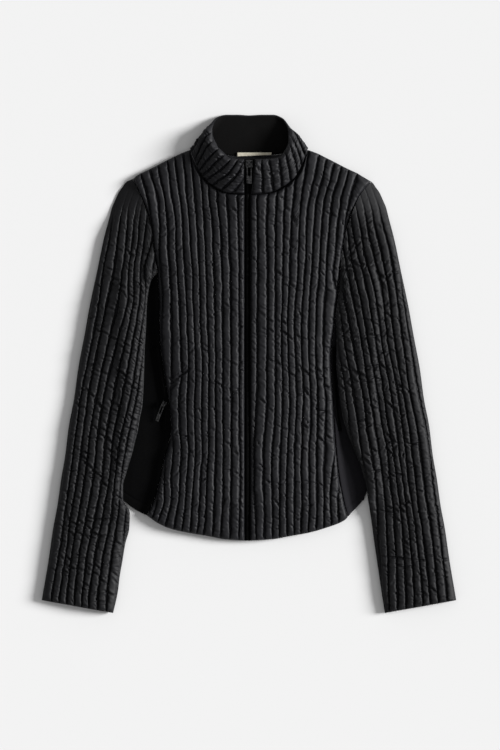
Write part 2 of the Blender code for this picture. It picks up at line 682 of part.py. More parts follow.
def sleeve_plan(side, out_at, columns):
    """Plan position of a sleeve's columns on its rows from the armhole to the cuff."""
    low = np.full((1, columns), float(UNDERARM_Y))
    high = np.full((1, columns), SEAM[side]["y"][0])
    for _ in range(24):
        middle = (low + high) / 2
        beyond = out_at(middle) >= seam_at(side, middle) + ARMHOLE_GAP
        low, high = np.where(beyond, middle, low), np.where(beyond, high, middle)
    bottom = np.full((1, columns), SLEEVE_BOTTOM)
    for _ in range(6):
        bottom = np.interp(out_at(bottom), *CUFF)
    down = SLEEVE_ROW_SHARES[:, None]
    y = SLEEVE_TOP + (SLEEVE_BOTTOM - SLEEVE_TOP) * down
    y = y + (low - SLEEVE_TOP) * (1 - down) ** 3 + (bottom - SLEEVE_BOTTOM) * down**6
    return out_at(y), y


def roundness(across, power):
    """0 at a sleeve's two edges and 1 over most of its width."""
    return np.sqrt(np.clip(1 - np.abs(2 * across - 1) ** power, 0, 1))


def sleeve_across(side, out, y):
    """Share of the way from a sleeve's outer edge to its inner edge."""
    outer = read(SLEEVE_OUTER, "y", "out", y)
    return np.clip((outer - out) / (outer - sleeve_inner(side, y)), 0, 1)


def sleeve_height(side, out, y, across, upper, inside):
    """Height of a sleeve's upper or lower cloth above the floor, at its outer face's
    stitched lines or on its inside."""
    lift = sleeve_lift(side, out, y)
    middle = SLEEVE_MID + 1.45 * lift
    loft = SLEEVE_LOFT * ease((SLEEVE_LOFT_TOP - y) / SLEEVE_LOFT_FADE)
    crest = lift + BACK_WALL + LAYER_GAP + loft + (0.0 if inside else VALLEY)
    high = middle + (crest - middle) * roundness(across, SLEEVE_DOME)
    wall, cloth = (BACK_WALL, JERSEY + 1.0) if inside else (0.0, 0.0)
    low = middle - (middle - lift - wall) * roundness(across, 10)
    beside_panel = (y < PANEL_TOP["y"][0] + 6) & (y > read(HEM[side], "out", "y", out) - 6)
    clear = np.where(beside_panel, panel_top(side, out, y) + SLEEVE_OVER_PANEL, 0.0)
    low = np.maximum(low, clear + cloth)
    return np.maximum(high, low + 0.5) if upper else low


SLEEVE_ROW_SHARES = np.array(
    [
        0, 0.012, 0.035, 0.065, 0.1, 0.145, 0.195, 0.25, 0.31, 0.37, 0.43, 0.48,
        0.53, 0.58, 0.63, 0.68, 0.73, 0.785, 0.84, 0.895, 0.945, 0.988, 1,
    ]
)
UNDER_ACROSS = np.array([0.97, 0.92, 0.85, 0.74, 0.6, 0.42, 0.22, 0.06])
INSIDE_ACROSS = np.array([0, 0.04, 0.12, 0.24, 0.38, 0.5, 0.62, 0.76, 0.88, 0.96, 1])


def sleeve_top(side):
    """The quilted upper face of a sleeve: its points, and each column's share across."""
    channels = len(SLEEVE_STITCHES[side])
    places, rises = quilt_columns(channels)
    out, y = sleeve_plan(side, stitched_columns(side, places), len(places))
    width = np.abs(between_lines(sleeve_lines(side, y), np.broadcast_to(places, y.shape))[1])
    across = sleeve_across(side, out, y)
    top, length = SLEEVE_CAP
    cap = SLEEVE_CAP_RELIEF + (1 - SLEEVE_CAP_RELIEF) * ease((top - y) / length)
    cuff = pressed(1 - SLEEVE_ROW_SHARES[:, None], 0.012)
    rise = rises * crown_height(width) * cap * cuff * roundness(across, 5)
    height = sleeve_height(side, out, y, across, True, False) + rise
    return points(SIGN[side] * out, y, height), places / channels


def sleeve_face(side, across, inset, upper, inside):
    """A plain face of a sleeve: its underside, or one side of its inside."""
    out, y = sleeve_plan(side, plain_columns(side, across, inset), len(across))
    height = sleeve_height(side, out, y, np.broadcast_to(across, y.shape), upper, inside)
    return points(SIGN[side] * out, y, height)


def make_sleeve(side, material):
    top, top_at = sleeve_top(side)
    under = sleeve_face(side, UNDER_ACROSS, 0.0, False, False)
    inside_top = sleeve_face(side, INSIDE_ACROSS, SLEEVE_EDGE, True, True)
    inside_under = sleeve_face(side, UNDER_ACROSS, SLEEVE_EDGE, False, True)
    under_at = 1 + np.linspace(0, 1, len(UNDER_ACROSS) + 2)[1:-1]
    outer_at = np.concatenate([top_at, under_at]) / 2
    inner_at = np.concatenate([INSIDE_ACROSS, under_at]) / 2
    outer = np.concatenate([top, under], axis=1)
    inner = np.concatenate([inside_top, inside_under], axis=1)
    make_tube(f"sleeve_{side}", outer, inner, material, outer_at, inner_at)


# ---------------------------------------------------------------- collar


def collar_lines():
    """The collar's base and rim as points from the right zip edge round to the left."""
    ends = []
    for edge in ("base", "rim"):
        right = points(-COLLAR[f"{edge}_right"], COLLAR[f"{edge}_y"], COLLAR[f"{edge}_z"])
        left = points(COLLAR[f"{edge}_left"], COLLAR[f"{edge}_y"], COLLAR[f"{edge}_z"])
        ends.append(np.concatenate([right, left[-2::-1]]))
    return ends


def collar_face(around, up, depth):
    """Points of the collar, depth inwards from the middle of its cloth: around from 0
    to 1 between the zip's edges, up from 0 at the neck seam to 1 at the rim."""
    base, rim = collar_lines()
    steps = np.linalg.norm(np.diff(base + rim, axis=0), axis=1)
    length = np.concatenate([[0], np.cumsum(steps)]) / steps.sum()
    low, high = (
        points(*(smooth_line(length, line[:, axis], around) for axis in range(3))) for line in (base, rim)
    )
    middle = low + up[..., None] * (high - low)
    normal = normals_of(middle)
    stands = ease((normal[..., 2] - 0.15) / 0.6)
    bulge = COLLAR_BULGE * 4 * up * (1 - up) * stands
    return middle + normal * (bulge - depth)[..., None], stands


COLLAR_ROW_SHARES = np.array([0, 0.05, 0.35, 0.7, 0.95, 1])
FACING_ROWS = [1, 2, 3, 4]


def collar_places(place, up):
    """Where the collar's columns stand at a share up, in channels round from the zip. The
    stitched lines of its right front slant, so the zip's edge cuts the first ones off."""
    slant = COLLAR_CUT * (1 - up) * (1 - ease(place / COLLAR_SLANT_REACH))
    return np.maximum(place + slant, COLLAR_SQUEEZE * (place + COLLAR_CUT))


def make_collar(quilted, plain_cloth):
    places, rises = quilt_columns(COLLAR_CHANNELS + COLLAR_CUT)
    place, up = np.meshgrid(places - COLLAR_CUT, COLLAR_ROW_SHARES)
    channel = np.floor(place)
    width = collar_places(channel + 1, up) - collar_places(channel, up)
    around = collar_places(place, up) / COLLAR_CHANNELS
    _, stands = collar_face(around, up, 0.0)
    rise = rises * CROWN * np.minimum(width, 1) * stands * pressed(np.minimum(up, 1 - up), 0.05)
    outer, _ = collar_face(around, up, -VALLEY / 2 - rise)
    outer[..., 2] = np.maximum(outer[..., 2], 0.0)
    inner, _ = collar_face(around, up, VALLEY / 2)
    make_wall("collar", outer, inner, quilted)

    places, _ = quilt_columns(COLLAR_CHANNELS)
    covered = (places >= FACING_FROM_ZIP) & (places <= COLLAR_CHANNELS - FACING_FROM_ZIP)
    around, up = np.meshgrid(places[covered] / COLLAR_CHANNELS, COLLAR_ROW_SHARES)
    near = VALLEY / 2 + SEAM_GAP
    outer, inner = (collar_face(around, up, depth)[0][FACING_ROWS] for depth in (near, near + FACING_WALL))
    make_wall("collar_facing", outer, inner, plain_cloth)


def label_outline(count):
    """Plan position of the label, which is narrower at its left end: a grid of columns."""
    length, width, _ = LABEL_SIZE
    share, down = np.meshgrid(np.linspace(0, 1, count), np.linspace(0, 1, 3))
    x = (share - 0.5) * length + LABEL_PLACE[0]
    y = LABEL_PLACE[1] + width * (0.5 - down * (1 - LABEL_TAPER * share))
    return x, y


def make_neck_label(material):
    x, y = label_outline(3)
    bottom = points(x, y, LABEL_PLACE[2])
    make_wall("neck_label", bottom + (0, 0, LABEL_SIZE[2]), bottom, material)


# ---------------------------------------------------------------- zip


def zip_tape_grid(side):
    """The top of one zip tape, from its middle edge to the first stitched line: behind
    the collar from the rim down, then behind the front down to the hem."""
    around, up = np.meshgrid(np.arange(3) / COLLAR_CHANNELS, COLLAR_ROW_SHARES)
    on_collar, _ = collar_face(around, up, VALLEY / 2 + SEAM_GAP)
    if side == "left":
        on_collar, _ = collar_face(1 - around[:, ::-1], up, VALLEY / 2 + SEAM_GAP)
        on_collar = on_collar[:, ::-1]
    place, down = np.meshgrid([0.0, 1.0], FRONT_ROWS)
    out, y, _ = front_plan(side, place, down)
    on_front = points(SIGN[side] * out, y, front_inside(side, out, y) - SEAM_GAP)
    tape = np.concatenate([on_collar[::-1, :2], on_front])
    middle = tape[:, :1].copy()
    middle[..., 0] = read(ZIP_LINE, "y", "x", middle[..., 1]) + SIGN[side] * SEAM_GAP / 2
    return np.concatenate([middle, tape], axis=1)


def zip_line(y):
    """Height of the tapes' top under the zip at the heights y of the jacket."""
    edge = zip_tape_grid("right")[::-1, 0]
    return np.interp(y, edge[:, 1], edge[:, 2])


def make_zip(tape, coil):
    for side in ("right", "left"):
        upper = zip_tape_grid(side)
        make_wall(f"zip_tape_{side}", upper, upper - (0, 0, TAPE_THICK), tape)
    stop = FRONT_SLIDER_Y - FRONT_SLIDER.length / 2 - 2 * SEAM_GAP
    rows = zip_tape_grid("right")[:-1, 0, 1]
    y = np.append(stop, rows[rows < stop - 1])[:, None]
    x, half, foot = read(ZIP_LINE, "y", "x", y), COIL_WIDTH / 2, zip_line(y) + SEAM_GAP
    lower = points(x + np.array([-half, half]), y, foot)
    ridge = points(x + half * np.array([-1, -0.6, 0.6, 1]), y, foot + COIL_HEIGHT)
    ridge[:, [0, -1], 2] -= COIL_HEIGHT / 2
    make_wall("zip_coil", ridge, lower, coil, np.array([0, 0.2, 0.8, 1]))


def box_between(low, high):
    """A mesh box between two corners, in millimetres."""
    work = bmesh.new()
    low, high = Vector(low), Vector(high)
    size = Matrix.Diagonal(((high - low) * MM).to_4d())
    bmesh.ops.create_cube(work, size=1.0, matrix=Matrix.Translation((low + high) / 2 * MM) @ size)
    mesh = bpy.data.meshes.new("box")
    work.to_mesh(mesh)
    work.free()
    piece = bpy.data.objects.new("box", mesh)
    bpy.data.collections["cutters"].objects.link(piece)
    piece.hide_render = True
    piece.display_type = "WIRE"
    return piece


def combine(piece, other, operation):
    modifier = piece.modifiers.new(operation.lower(), "BOOLEAN")
    modifier.operation = operation
    modifier.object = other


def local_frame(origin, along, normal):
    """A frame whose -Y runs along the pull and whose +Z stands off the cloth."""
    back = -Vector(along).normalized()
    across = back.cross(Vector(normal)).normalized()
    up = across.cross(back)
    frame = Matrix((across, back, up)).transposed().to_4x4()
    frame.translation = Vector(origin) * MM
    return frame


def show(piece, name, material, frame):
    """Turn a helper box into a named node of the jacket."""
    piece.name = piece.data.name = name
    piece.data.materials.append(material)
    piece.hide_render = False
    piece.display_type = "TEXTURED"
    bpy.data.collections["cutters"].objects.unlink(piece)
    bpy.data.collections[COLLECTION].objects.link(piece)
    piece.matrix_world = frame


def hold(helpers, frame):
    for helper in helpers:
        helper.matrix_world = frame


def make_slider(name, size, frame, material):
    """A slider: a body with a bridge over the pull's bar. Its origin is on the cloth."""
    half, long = size.width / 2, size.length / 2
    slim, reach = size.bridge_width / 2, size.bridge_length / 2
    body = box_between((-half, -long, 0), (half, long, size.height))
    top = size.height + size.bridge_height
    arch = box_between((-slim, -reach, size.height / 2), (slim, reach, top))
    room = box_between(
        (-half, -reach + 1.2, size.height), (half, reach - 1.2, top - size.strap)
    )
    show(body, name, material, frame)
    hold((arch, room), frame)
    combine(arch, room, "DIFFERENCE")
    combine(body, arch, "UNION")


def make_pull(name, size, frame, material):
    """A pull tab with a window at its top, which leaves the bar that the bridge holds.
    Its origin is on the bar's middle line."""
    half, window = size.width / 2, size.window_width / 2
    bar, flat = size.bar / 2, size.thick / 2
    tab = box_between((-half, bar - size.length, -flat), (half, bar, flat))
    hole = box_between((-window, -bar - size.window_length, -size.thick), (window, -bar, size.thick))
    show(tab, name, material, frame)
    hold((hole,), frame)
    combine(tab, hole, "DIFFERENCE")


def make_slider_and_pull(prefix, sizes, origin, along, normal, material):
    slider, pull = sizes
    frame = local_frame(origin, along, normal)
    make_slider(f"{prefix}_slider", slider, frame, material)
    axis_height = (slider.height + slider.axis_height) * MM
    make_pull(f"{prefix}_pull", pull, frame @ Matrix.Translation((0, 0, axis_height)), material)


def make_front_slider(material):
    y, reach = FRONT_SLIDER_Y, 18.0
    rise = float(zip_line(y) - zip_line(y - reach)) / reach
    origin = (float(read(ZIP_LINE, "y", "x", y)), y, float(zip_line(y)) + 2 * SEAM_GAP)
    make_slider_and_pull("zip", (FRONT_SLIDER, FRONT_PULL), origin, (0, -1, -rise), (0, -rise, 1), material)


def make_pocket_slider(material):
    """The slider of the right pocket, its pull hanging out and down over the side panel."""
    side, y = "right", np.array(POCKET_SLIDER_Y)
    out = seam_at(side, y) + read(POCKET_LINE[side], "y", "away", y)
    height = panel_top(side, out, y)
    fall = float(height - panel_top(side, out + 4.0, y)) / 4
    normal = Vector((-fall, 0, 1)).normalized()
    raised = SEAM_GAP + POCKET_ZIP_THICK + 1.0
    origin = Vector((-float(out), float(y), float(height))) + normal * raised
    along = Vector((*POCKET_PULL_ALONG, 0))
    along -= normal * along.dot(normal)
    make_slider_and_pull("pocket", (POCKET_SLIDER, POCKET_PULL), origin, along, normal, material)


# ---------------------------------------------------------------- the jacket


def clear_scene():
    for item in list(bpy.data.objects):
        bpy.data.objects.remove(item, do_unlink=True)
    for name in (COLLECTION, "cutters"):
        bpy.context.scene.collection.children.link(bpy.data.collections.new(name))


def centre_on_floor():
    """Move every object so that the jacket's bottom middle is at the origin."""
    cloth = [item for item in bpy.data.collections[COLLECTION].objects if not item.modifiers]
    corners = np.array([vertex.co for item in cloth for vertex in item.data.vertices])
    low, high = corners.min(axis=0), corners.max(axis=0)
    middle = Vector(((low[0] + high[0]) / 2, (low[1] + high[1]) / 2, low[2]))
    for item in bpy.data.objects:
        item.location -= middle


def main():
    clear_scene()
    nylon = make_material("quilted_nylon", (0.012, 0.012, 0.014), 0.42)
    jersey = make_material("jersey", (0.012, 0.012, 0.015), 0.85)
    tape = make_material("zip_tape", (0.008, 0.008, 0.009), 0.8)
    coil = make_material("nylon_coil", (0.015, 0.015, 0.016), 0.35)
    metal = make_material("metal", (0.35, 0.35, 0.36), 0.3, 1.0)
    label = make_material("label_tape", (0.72, 0.66, 0.52), 0.75)
    make_back(nylon)
    for side in ("right", "left"):
        make_front(side, nylon)
        make_side_panel(side, jersey)
        make_sleeve(side, nylon)
        make_pocket_zip(side, tape)
    make_collar(nylon, jersey)
    make_neck_label(label)
    make_zip(tape, coil)
    make_front_slider(metal)
    make_pocket_slider(metal)
    centre_on_floor()


main()
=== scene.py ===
"""Looks of the quilted jacket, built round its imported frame.

The tables and the plan functions are those of the part, in millimetres: the wearer's
right is at -X, the hem at -Y, and out is the distance from the plane x = 0 on either
side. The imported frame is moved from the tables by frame_shift.
"""

import math
import re
from collections import namedtuple

import bmesh
import bpy
import numpy as np
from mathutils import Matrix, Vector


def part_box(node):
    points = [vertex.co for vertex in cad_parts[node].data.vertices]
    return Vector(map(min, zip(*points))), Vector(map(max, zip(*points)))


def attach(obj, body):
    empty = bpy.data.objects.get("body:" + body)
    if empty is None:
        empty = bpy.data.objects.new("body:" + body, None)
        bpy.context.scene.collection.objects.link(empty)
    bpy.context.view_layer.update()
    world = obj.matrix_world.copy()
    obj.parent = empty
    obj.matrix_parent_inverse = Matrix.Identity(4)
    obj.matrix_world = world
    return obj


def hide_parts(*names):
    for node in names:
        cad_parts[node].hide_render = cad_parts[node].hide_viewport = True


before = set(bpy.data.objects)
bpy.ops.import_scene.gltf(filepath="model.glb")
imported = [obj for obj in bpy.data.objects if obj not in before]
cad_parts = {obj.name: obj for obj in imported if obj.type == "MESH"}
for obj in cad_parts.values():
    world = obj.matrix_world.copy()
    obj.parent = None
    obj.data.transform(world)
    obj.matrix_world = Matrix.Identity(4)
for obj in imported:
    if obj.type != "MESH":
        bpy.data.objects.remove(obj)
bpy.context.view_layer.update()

MM = 0.001

# Picture and light
PHOTO_SIZE, PHOTO_CENTRE = (500, 750), (249.0, 363.5)  # in pixels; the jacket's x = y = 0
PIXEL = 1.48 * MM
VIEW_CENTRE = (1.48 * MM, -16.6 * MM)
CAMERA_LENS, CAMERA_SENSOR, CAMERA_SIGHT = 300.0, 36.0, 100
KEY_STRENGTH, KEY_SPREAD, KEY_FROM = 5.9, 20.0, (9.0, 23.5)
FILL_STRENGTH = 0.36
FLOOR_REACH, FLOOR_TONES, FLOOR_SPECKS = 12.0, (0.80, 0.82), 3.0
FLOOR_ROUGHNESS, FLOOR_GLOSS = 0.9, 0.1

# Walls and gaps
SEAM_GAP = 0.3
BACK_WALL = 4.6
LAYER_GAP = 3.4
JERSEY = 1.4

# Channels, with breadths across in channels
CHANNEL_PITCH = 11.0
FRONT_CHANNELS = 13
COLLAR_CHANNELS = 26
STITCHED = 1.1  # a quilted wall along its stitched lines
CREST = 6.4  # and at the top of a channel
WIDEST = 1.06  # a channel that is wider than this is no higher
SQUEEZE = 0.3  # what is left of a channel where a seam cuts it off
VALLEY_SIDE, WALL_SHARE = 0.19, 0.74  # a channel's steep side: its breadth and share of the height
TOP_POWER = 2.2  # how flat the channel is between its sides
STITCH, VALLEY_WANDER, VALLEY_FLOOR = 3.6, 0.045, 0.05  # how its side wanders, stitch by stitch

# Waves in the channels: their strength, and their size across and along
SWAY = ((0.3, 2.6, 48), (0.4, 1.0, 15))
LEAN = ((0.09, 1, 21), (0.05, 1, 7))
FULLNESS = ((0.1, 1, 34), (0.08, 1, 9))

# How full the channels are at an edge and over what distance they fill up, and how an
# edge is turned in: what is left of the wall there, and the radius
FRONT_PRESS, SLEEVE_PRESS, COLLAR_PRESS = (0.55, 7.0), (0.6, 6.0), (0.5, 4.0)
FRONT_TURNED, SLEEVE_TURNED, COLLAR_TURNED = 0.2, 0.35, 0.15
EDGE_ROLL, SEAM_ROLL, BACK_ROLL, CUFF_ROLL, COLLAR_ROLL = 2.6, 4.5, 2.4, 2.5, 2.4

# Creases: how far each is worked out and how it bows, in its lengths, the least that
# counts as its length, in its breadths, and its two lips, each with its height and place,
# in its depth and breadth
CREASE_REACH, CREASE_BOW, CREASE_LEAST = 3.2, 0.06, 3
LIPS = ((0.5, 1.8), (0.2, -1.8))
# Marked ones: length and depth, with what a star adds and how uneven they are
SEEN_LENGTH, SEEN_DEPTH = (7, 3, (0.8, 1.25)), (1.3, 0.9, (0.8, 1.2))
SEEN_BREADTH, SEEN_STRAY = (1.2, 2.0), (-12, 12)
# Small ones: their sizes, how many slant the other way, and for each piece how many they
# are, their slant with its spread, and their scale
SMALL_LENGTH, SMALL_BREADTH, SMALL_DEPTH = (4, 9), (0.7, 1.4), (2.2, 0.42)
SMALL_TURNS = (1, 1, 1, -0.8)
SMALL_CREASES = {
    "front": (1600, (-38, 22), 1.0),
    "sleeve": (2400, (-30, 28), 1.1),
    "collar": (900, (-30, 50), 1.15),
}

# Grids
ACROSS_CHANNEL = (0, 0.04, 0.085, 0.13, 0.18, 0.3, 0.45, 0.6, 0.75, 0.84, 0.89, 0.93, 0.97)
ROW_PITCH = 1.3
FIRST_ROWS = (0.25, 0.6)  # two more rows at each end, in pitches
FRONT_LENGTH, BACK_LENGTH, SLEEVE_LENGTH, COLLAR_HEIGHT = 540, 560, 640, 60
BACK_ROW_STEP = 3
INNER_ROWS, BACK_INNER_COLUMNS, SLEEVE_INNER_COLUMNS = 60, 29, 15
COLLAR_INNER_GRID, FACING_GRID, LABEL_GRID = (80, 12), (150, 30), (41, 9)
PANEL_GRID, POCKET_GRID = (26, 220), (9, 70)
TAPE_ROWS, TAPE_COLLAR_ROWS = 120, (0, 0.05, 0.35, 0.7, 0.95, 1)
SETTLE, PANEL_SETTLE, BISECTIONS = 6, 10, 24  # steps that find where a row or column ends
SHARP = 120  # degrees


def table(columns, text):
    """Rows of numbers under named columns."""
    names = columns.split()
    numbers = np.array(text.replace(",", " ").split(), float)
    return dict(zip(names, numbers.reshape(-1, len(names)).T))


def pair(right, left):
    return {"right": right, "left": left}


SIGN = pair(-1, 1)
FRONT_SEED, SLEEVE_SEED, PANEL_SEED = pair(100, 200), pair(500, 600), pair(400, 410)
BACK_SEED, COLLAR_SEED, FACING_SEED, LABEL_SEED = 300, 700, 720, 730

# Centre-front zip
TAPE_THICK = 1.0
COIL_WIDTH = 4.4
COIL_HEIGHT = 2.0
COIL_PITCH = 1.3
COIL_COLUMNS, TOOTH_ROWS = 11, 3
TOOTH_DEPTH = 0.22  # in coil heights
COIL_DOME = (0.9, 3)  # how far its top falls to its edges, and how late
COIL_GROOVE, COIL_GROOVE_BREADTH = 0.25, 0.12  # its breadth in half coil widths
SLIDER_Y, SLIDER_LENGTH = 295.0, 11.0
ZIP_LINE = table("y x", "-262 -2.4, 245 -2.4, 301 0.7")
ZIP_EDGE = pair(7.0, 2.2)

# Fronts and back
SEAM = pair(
    table("y out", """
    273 172, 248 160, 232 154, 202 145, 168 141, 138 136, 94 133, 42 132, -29 123, -60 118, -95 115,
    -116 118, -144 126, -175 133, -196 138, -224 151
    """),
    table("y out", """
    269 181, 249 164, 227 154, 190 142, 161 137, 138 135, 109 132, 79 128.5, 42 124, 20 121.5, 9 121,
    -17 122, -54 124.5, -91 126.3, -128 129, -165 133, -202 140, -226 146
    """),
)
UNDERARM_Y = 138
NECK = table("out y", "2 249, 30 251, 44 256, 59 265, 71 277, 81 294, 87 316")
NECK_POINT = (87, 316)
SHOULDER = table("out y", "87 316, 98 312, 117 303, 144 289, 166 278, 172 273, 181 269")
BACK_NECK = table("out y", "0 306, 50 309, 75 313, 87 315.6")
HEM = pair(
    table("out y", """
    7 -262, 36 -260, 62 -255, 92 -250, 120 -243, 136 -235, 151 -225, 167 -217, 188 -201
    """),
    table("out y", """
    2 -262, 34 -260, 62 -255, 90 -250, 114 -243, 141 -232, 152 -220, 161 -211, 169 -201, 173 -191
    """),
)
BACK_HEM_RISE = 3.0
BACK_CROWN, BACK_GROOVE = 2.6, 1.6  # how high its channels are before they press flat, and what stays
BACK_EDGE_RISE = 2.0
BODY_TOP, BODY_BOTTOM = 265.0, -252.0
BODY_ENDS, SLEEVE_ENDS = (4, 6), (3, 6)  # how soon rows are level, from the upper and lower end
STEADY_AT_ZIP, STEADY_AT_SEAM = 1.2, 1.5  # channels over which the stitched lines begin to sway
NARROW = 3.0  # a channel narrower than this is flatter
ZIP_ROLL_START = 0.2
FRONT_STITCHES = pair(
    table("y 1 2 3 4 5 6 7 8 9 10 11 12", """
    316 18 36 50 62 73 86.5 98 111 123 139 152 168
    274 18 35 48 60 71 83 94 106 117.5 131 143 158
    242 17 33 46.5 58 68.5 79.5 91.5 101 113 124 135 149
    205 15.5 30 42.5 54 66 76.5 88 98.5 108.5 120.5 132.5 144
    168 14.7 29 40.7 52.7 64.5 75 86 97 107.5 119.5 132 141
    131 14.4 27.2 39.4 51 63 73.5 83.5 94.5 105.5 116.5 130.5 140
    94 14.4 27.2 39.2 50.5 62 72.5 82.5 92.5 103 114.5 127.5 140
    57 14.4 27 39.2 50 61 71.5 80.7 91 101.5 114.5 130 140
    20 14.1 26 38 49.5 60 69.7 79.3 90 101 114.5 130 140
    -17 13.9 26 38.2 48.7 58.6 68.8 79 89.4 100 114.7 130 140
    -54 14.1 26 38 50 59.8 70 80.4 91 103.5 117 130 140
    -91 14.2 26 38 49 59.8 70 80 91.2 103 116.5 130 140
    -128 13.5 26 38 49.3 60 69 79 88.7 100.2 112 124 140
    -165 12.8 26 38 49.7 62 71.3 80.8 91 101.5 114.8 125 136
    -202 13.5 26.8 38 51 62.8 73.3 83.8 93.8 104 114.7 125 136
    -235 14.7 27.8 40.5 52 64.8 75 86 97.5 109.7 122.4 134 145
    -262 15 28.5 42 54 67 78 89 101 113 126 138 150
    """),
    table("y 1 2 3 4 5 6 7 8 9 10 11 12", """
    316 12 31 46 60 75 88 105 118 131 143 155 168
    274 12 29 43 56 69.5 82 96.5 108.5 121 132 144.5 158
    242 11.5 27.7 41 53 65.6 77 89 100 111.5 123 136.5 149
    205 12.6 26 39.2 51 62.3 74.4 85 96.5 107.3 119 131 142
    168 12.6 27 39.2 51 61 73 84.4 94.3 105 116 128 140
    131 13.2 27.4 39.2 50.2 60 71.5 82 92.2 103.5 114.5 125 140
    94 12.6 27.4 39 49.3 58.5 69 79 89.5 100 112 133 142
    57 11.6 27.4 39 48 57.3 67 77.4 88 98.5 110 133 142
    20 12.1 27.4 39 48 58 68.2 77.7 88 98.7 110 133 142
    -17 12 26.6 39.2 49.6 58.8 69 79.2 89.8 100.2 110.7 133 142
    -54 10.8 26.6 39 49.6 60.2 70.6 80.7 91.3 101.4 113.5 133 142
    -91 9.3 24.4 37.7 48 58.5 69 79 91.3 101.4 113 133 142
    -128 8.1 21.5 34.2 46.6 57.3 67.3 78 89.2 100 111.7 128 142
    -165 8.1 21.5 33.3 45 55.5 67.3 77.7 89.5 100.2 110.7 122 137
    -202 8.1 22 34.8 45 55.5 67 78 89.2 100.6 110.7 120 131
    -235 9.9 23 34.8 44.8 56.2 67 76.5 87.8 99.6 110.7 121.5 133
    -262 10.5 23.5 35 45 56.5 67 77 88 100 111.5 122.5 134
    """),
)
NECK_LIFT = 11.0
NECK_LIFT_REACH = (60.0, 55.0)
NECK_LIFT_Y = 262.0
SHOULDER_ROUNDING = 25.0
LOFT = 8.0
LOFT_POWER = 3.5
LOFT_HEM = (-265.0, 75.0)
LOFT_NECK = (140.0, 100.0)

# Side panels and pockets
FOLD = pair(
    table("y out", "133 172, 85 178, -54 172, -150 182, -181 189, -201 188"),
    table("y out", "133 170, 85 176, -54 170, -130 172, -180 174, -191 173, -201 169"),
)
FOLD_ANGLES = (70, 45, 20, 0, -20, -45, -70)
PANEL_RISE_WIDTH = pair(16.0, 12.0)
PANEL_TOP = table("share y", "0 134, 0.25 124, 0.6 112, 1 104")
PANEL_GAP = 1.0
PANEL_FLAT = 2 * JERSEY + PANEL_GAP  # its two layers
PANEL_SEAM = BACK_WALL + LAYER_GAP + JERSEY + 0.6  # its height along the seam
PANEL_REACH = 0.97  # share of the way to the fold at which it starts to turn round
PANEL_DRAPE, PANEL_WAVE = 0.35, (14, 60)
PANEL_STEADY = (0.3, 0.2)  # shares over which it begins to drape, from the seam and the fold
HEM_STITCH_UP, HEM_STITCH_DEPTH, HEM_STITCH_BREADTH = 13.0, 0.6, 1.6
POCKET_LINE = pair(
    table("y away", "134 4.5, 22 5, -20 5, -57 5.5, -80 8, -98 10.5, -145 9, -225 5"),
    table("y away", "134 3.4, 22 3.4, -57 3.4, -76 4.2, -86 5.4, -98 7.2, -145 7.2, -226 5"),
)
POCKET_ENDS = (25.0, -100.0)
POCKET_ZIP_WIDTH = 4.6
POCKET_ZIP_THICK = 1.0

# Sleeves
SLEEVE_OUTER = table("y out", """
    273 172, 269 181, 260 188, 254 192.4, 242 198, 230 203, 218 206, 183 215, 135 225, 88 235, 41 243.5,
    -7 252.5, -54 259, -90 266, -137 272, -172 278, -208 283, -243 289.5, -291 296.5, -350 306.5
    """)
SLEEVE_INNER = pair(
    table("y out", """
    138 136.4, 121 145, 103 149, 82 151, 53 152, 20 154, -17 155, -63 157.5, -82 161.3, -99 164,
    -116 168.3, -134 172.7, -148 177, -165 182, -181 186, -200 186, -221 176, -243 177, -267 183,
    -291 187, -314 191, -338 194, -369 201
    """),
    table("y out", """
    138 135.4, 109 133.6, 90 130.8, 76 129.2, 27 129.2, -6 129.4, -22 131, -46 133.2, -73 137.6,
    -99 144.2, -122 152.9, -139 160, -151 165, -164 168.5, -177 172.4, -202 176, -225 179.8, -261 184.7,
    -304 191, -350 197.8, -369 201
    """),
)
SLEEVE_STITCHES = pair(
    table("y 1 2 3 4 5 6 7 8 9", """
    262 190 176 167 156 149 138 129 118 110
    230 199 187 178 167 160 149 139 128 120
    183 207 194 181 172 164 155 144 133 125
    135 216 200 187 178 170 161 155 143 130
    109 219 206 190 178 170 161 153 144 134
    27 233 223 209 196 184 173 163 155 146
    -47 248 237 225 214 200 187 175 166 158
    -112 257 246 236 224 212 201 190 179 169
    -167 264 253 242 230 217 206 198 189 178
    -230 273 264 253 241 228 217 204 194 183
    -276 280 270 261 250 238 226 214 202 187
    -344 291 280 269 258 247 237 224 211 197
    """),
    table("y 1 2 3 4 5 6 7 8 9 10 11", """
    262 196 181 170 160 147 137 126 116 105 95 85
    233 203 191 180 169 157 147 136 126 115 105 95
    198 213 200 187 176 165 153 145 135 124 113 103
    161 221 209 196 184 171 161 150 141 131 120 110
    109 226 217 206 196 185 174 162 151 139 129 119
    27 239 228 216 206 197 188 177 167 154 142 131
    -45 251 238 228 220 210 199 190 178 168 154 143
    -98 262 249 237 227 218 207 198 187 175 162 149
    -135 267 253 241 232 222 214 206 193 181 167 155
    -172 271 258 246 235 227 218 208 198 187 173 160
    -202 275 262 249 240 231 222 212 201 189 175 160
    -261 283 271 258 248 238 228 216 204 191 175 160
    -313 289 276 264 254 243 231 219 206 195 175 160
    -350 293 280 268 257 244 232 220 207 195 175 160
    """),
)
CUFF = ((201, 306.5), (-369, -350))
SLEEVE_TOP, SLEEVE_BOTTOM = 200.0, -360.0
ABOVE_UNDERARM = 0.6  # how fast the inner edge runs on inwards above the underarm
SLEEVE_MID = 7.0
SLEEVE_LOFT = 3.0
SLEEVE_LOFT_TOP, SLEEVE_LOFT_FADE = 198.0, 120.0
SLEEVE_EDGE = 3.2
SLEEVE_UNDERSIDE = JERSEY + 1.0
SLEEVE_OVER_PANEL, BESIDE_PANEL = 2.0, 6.0
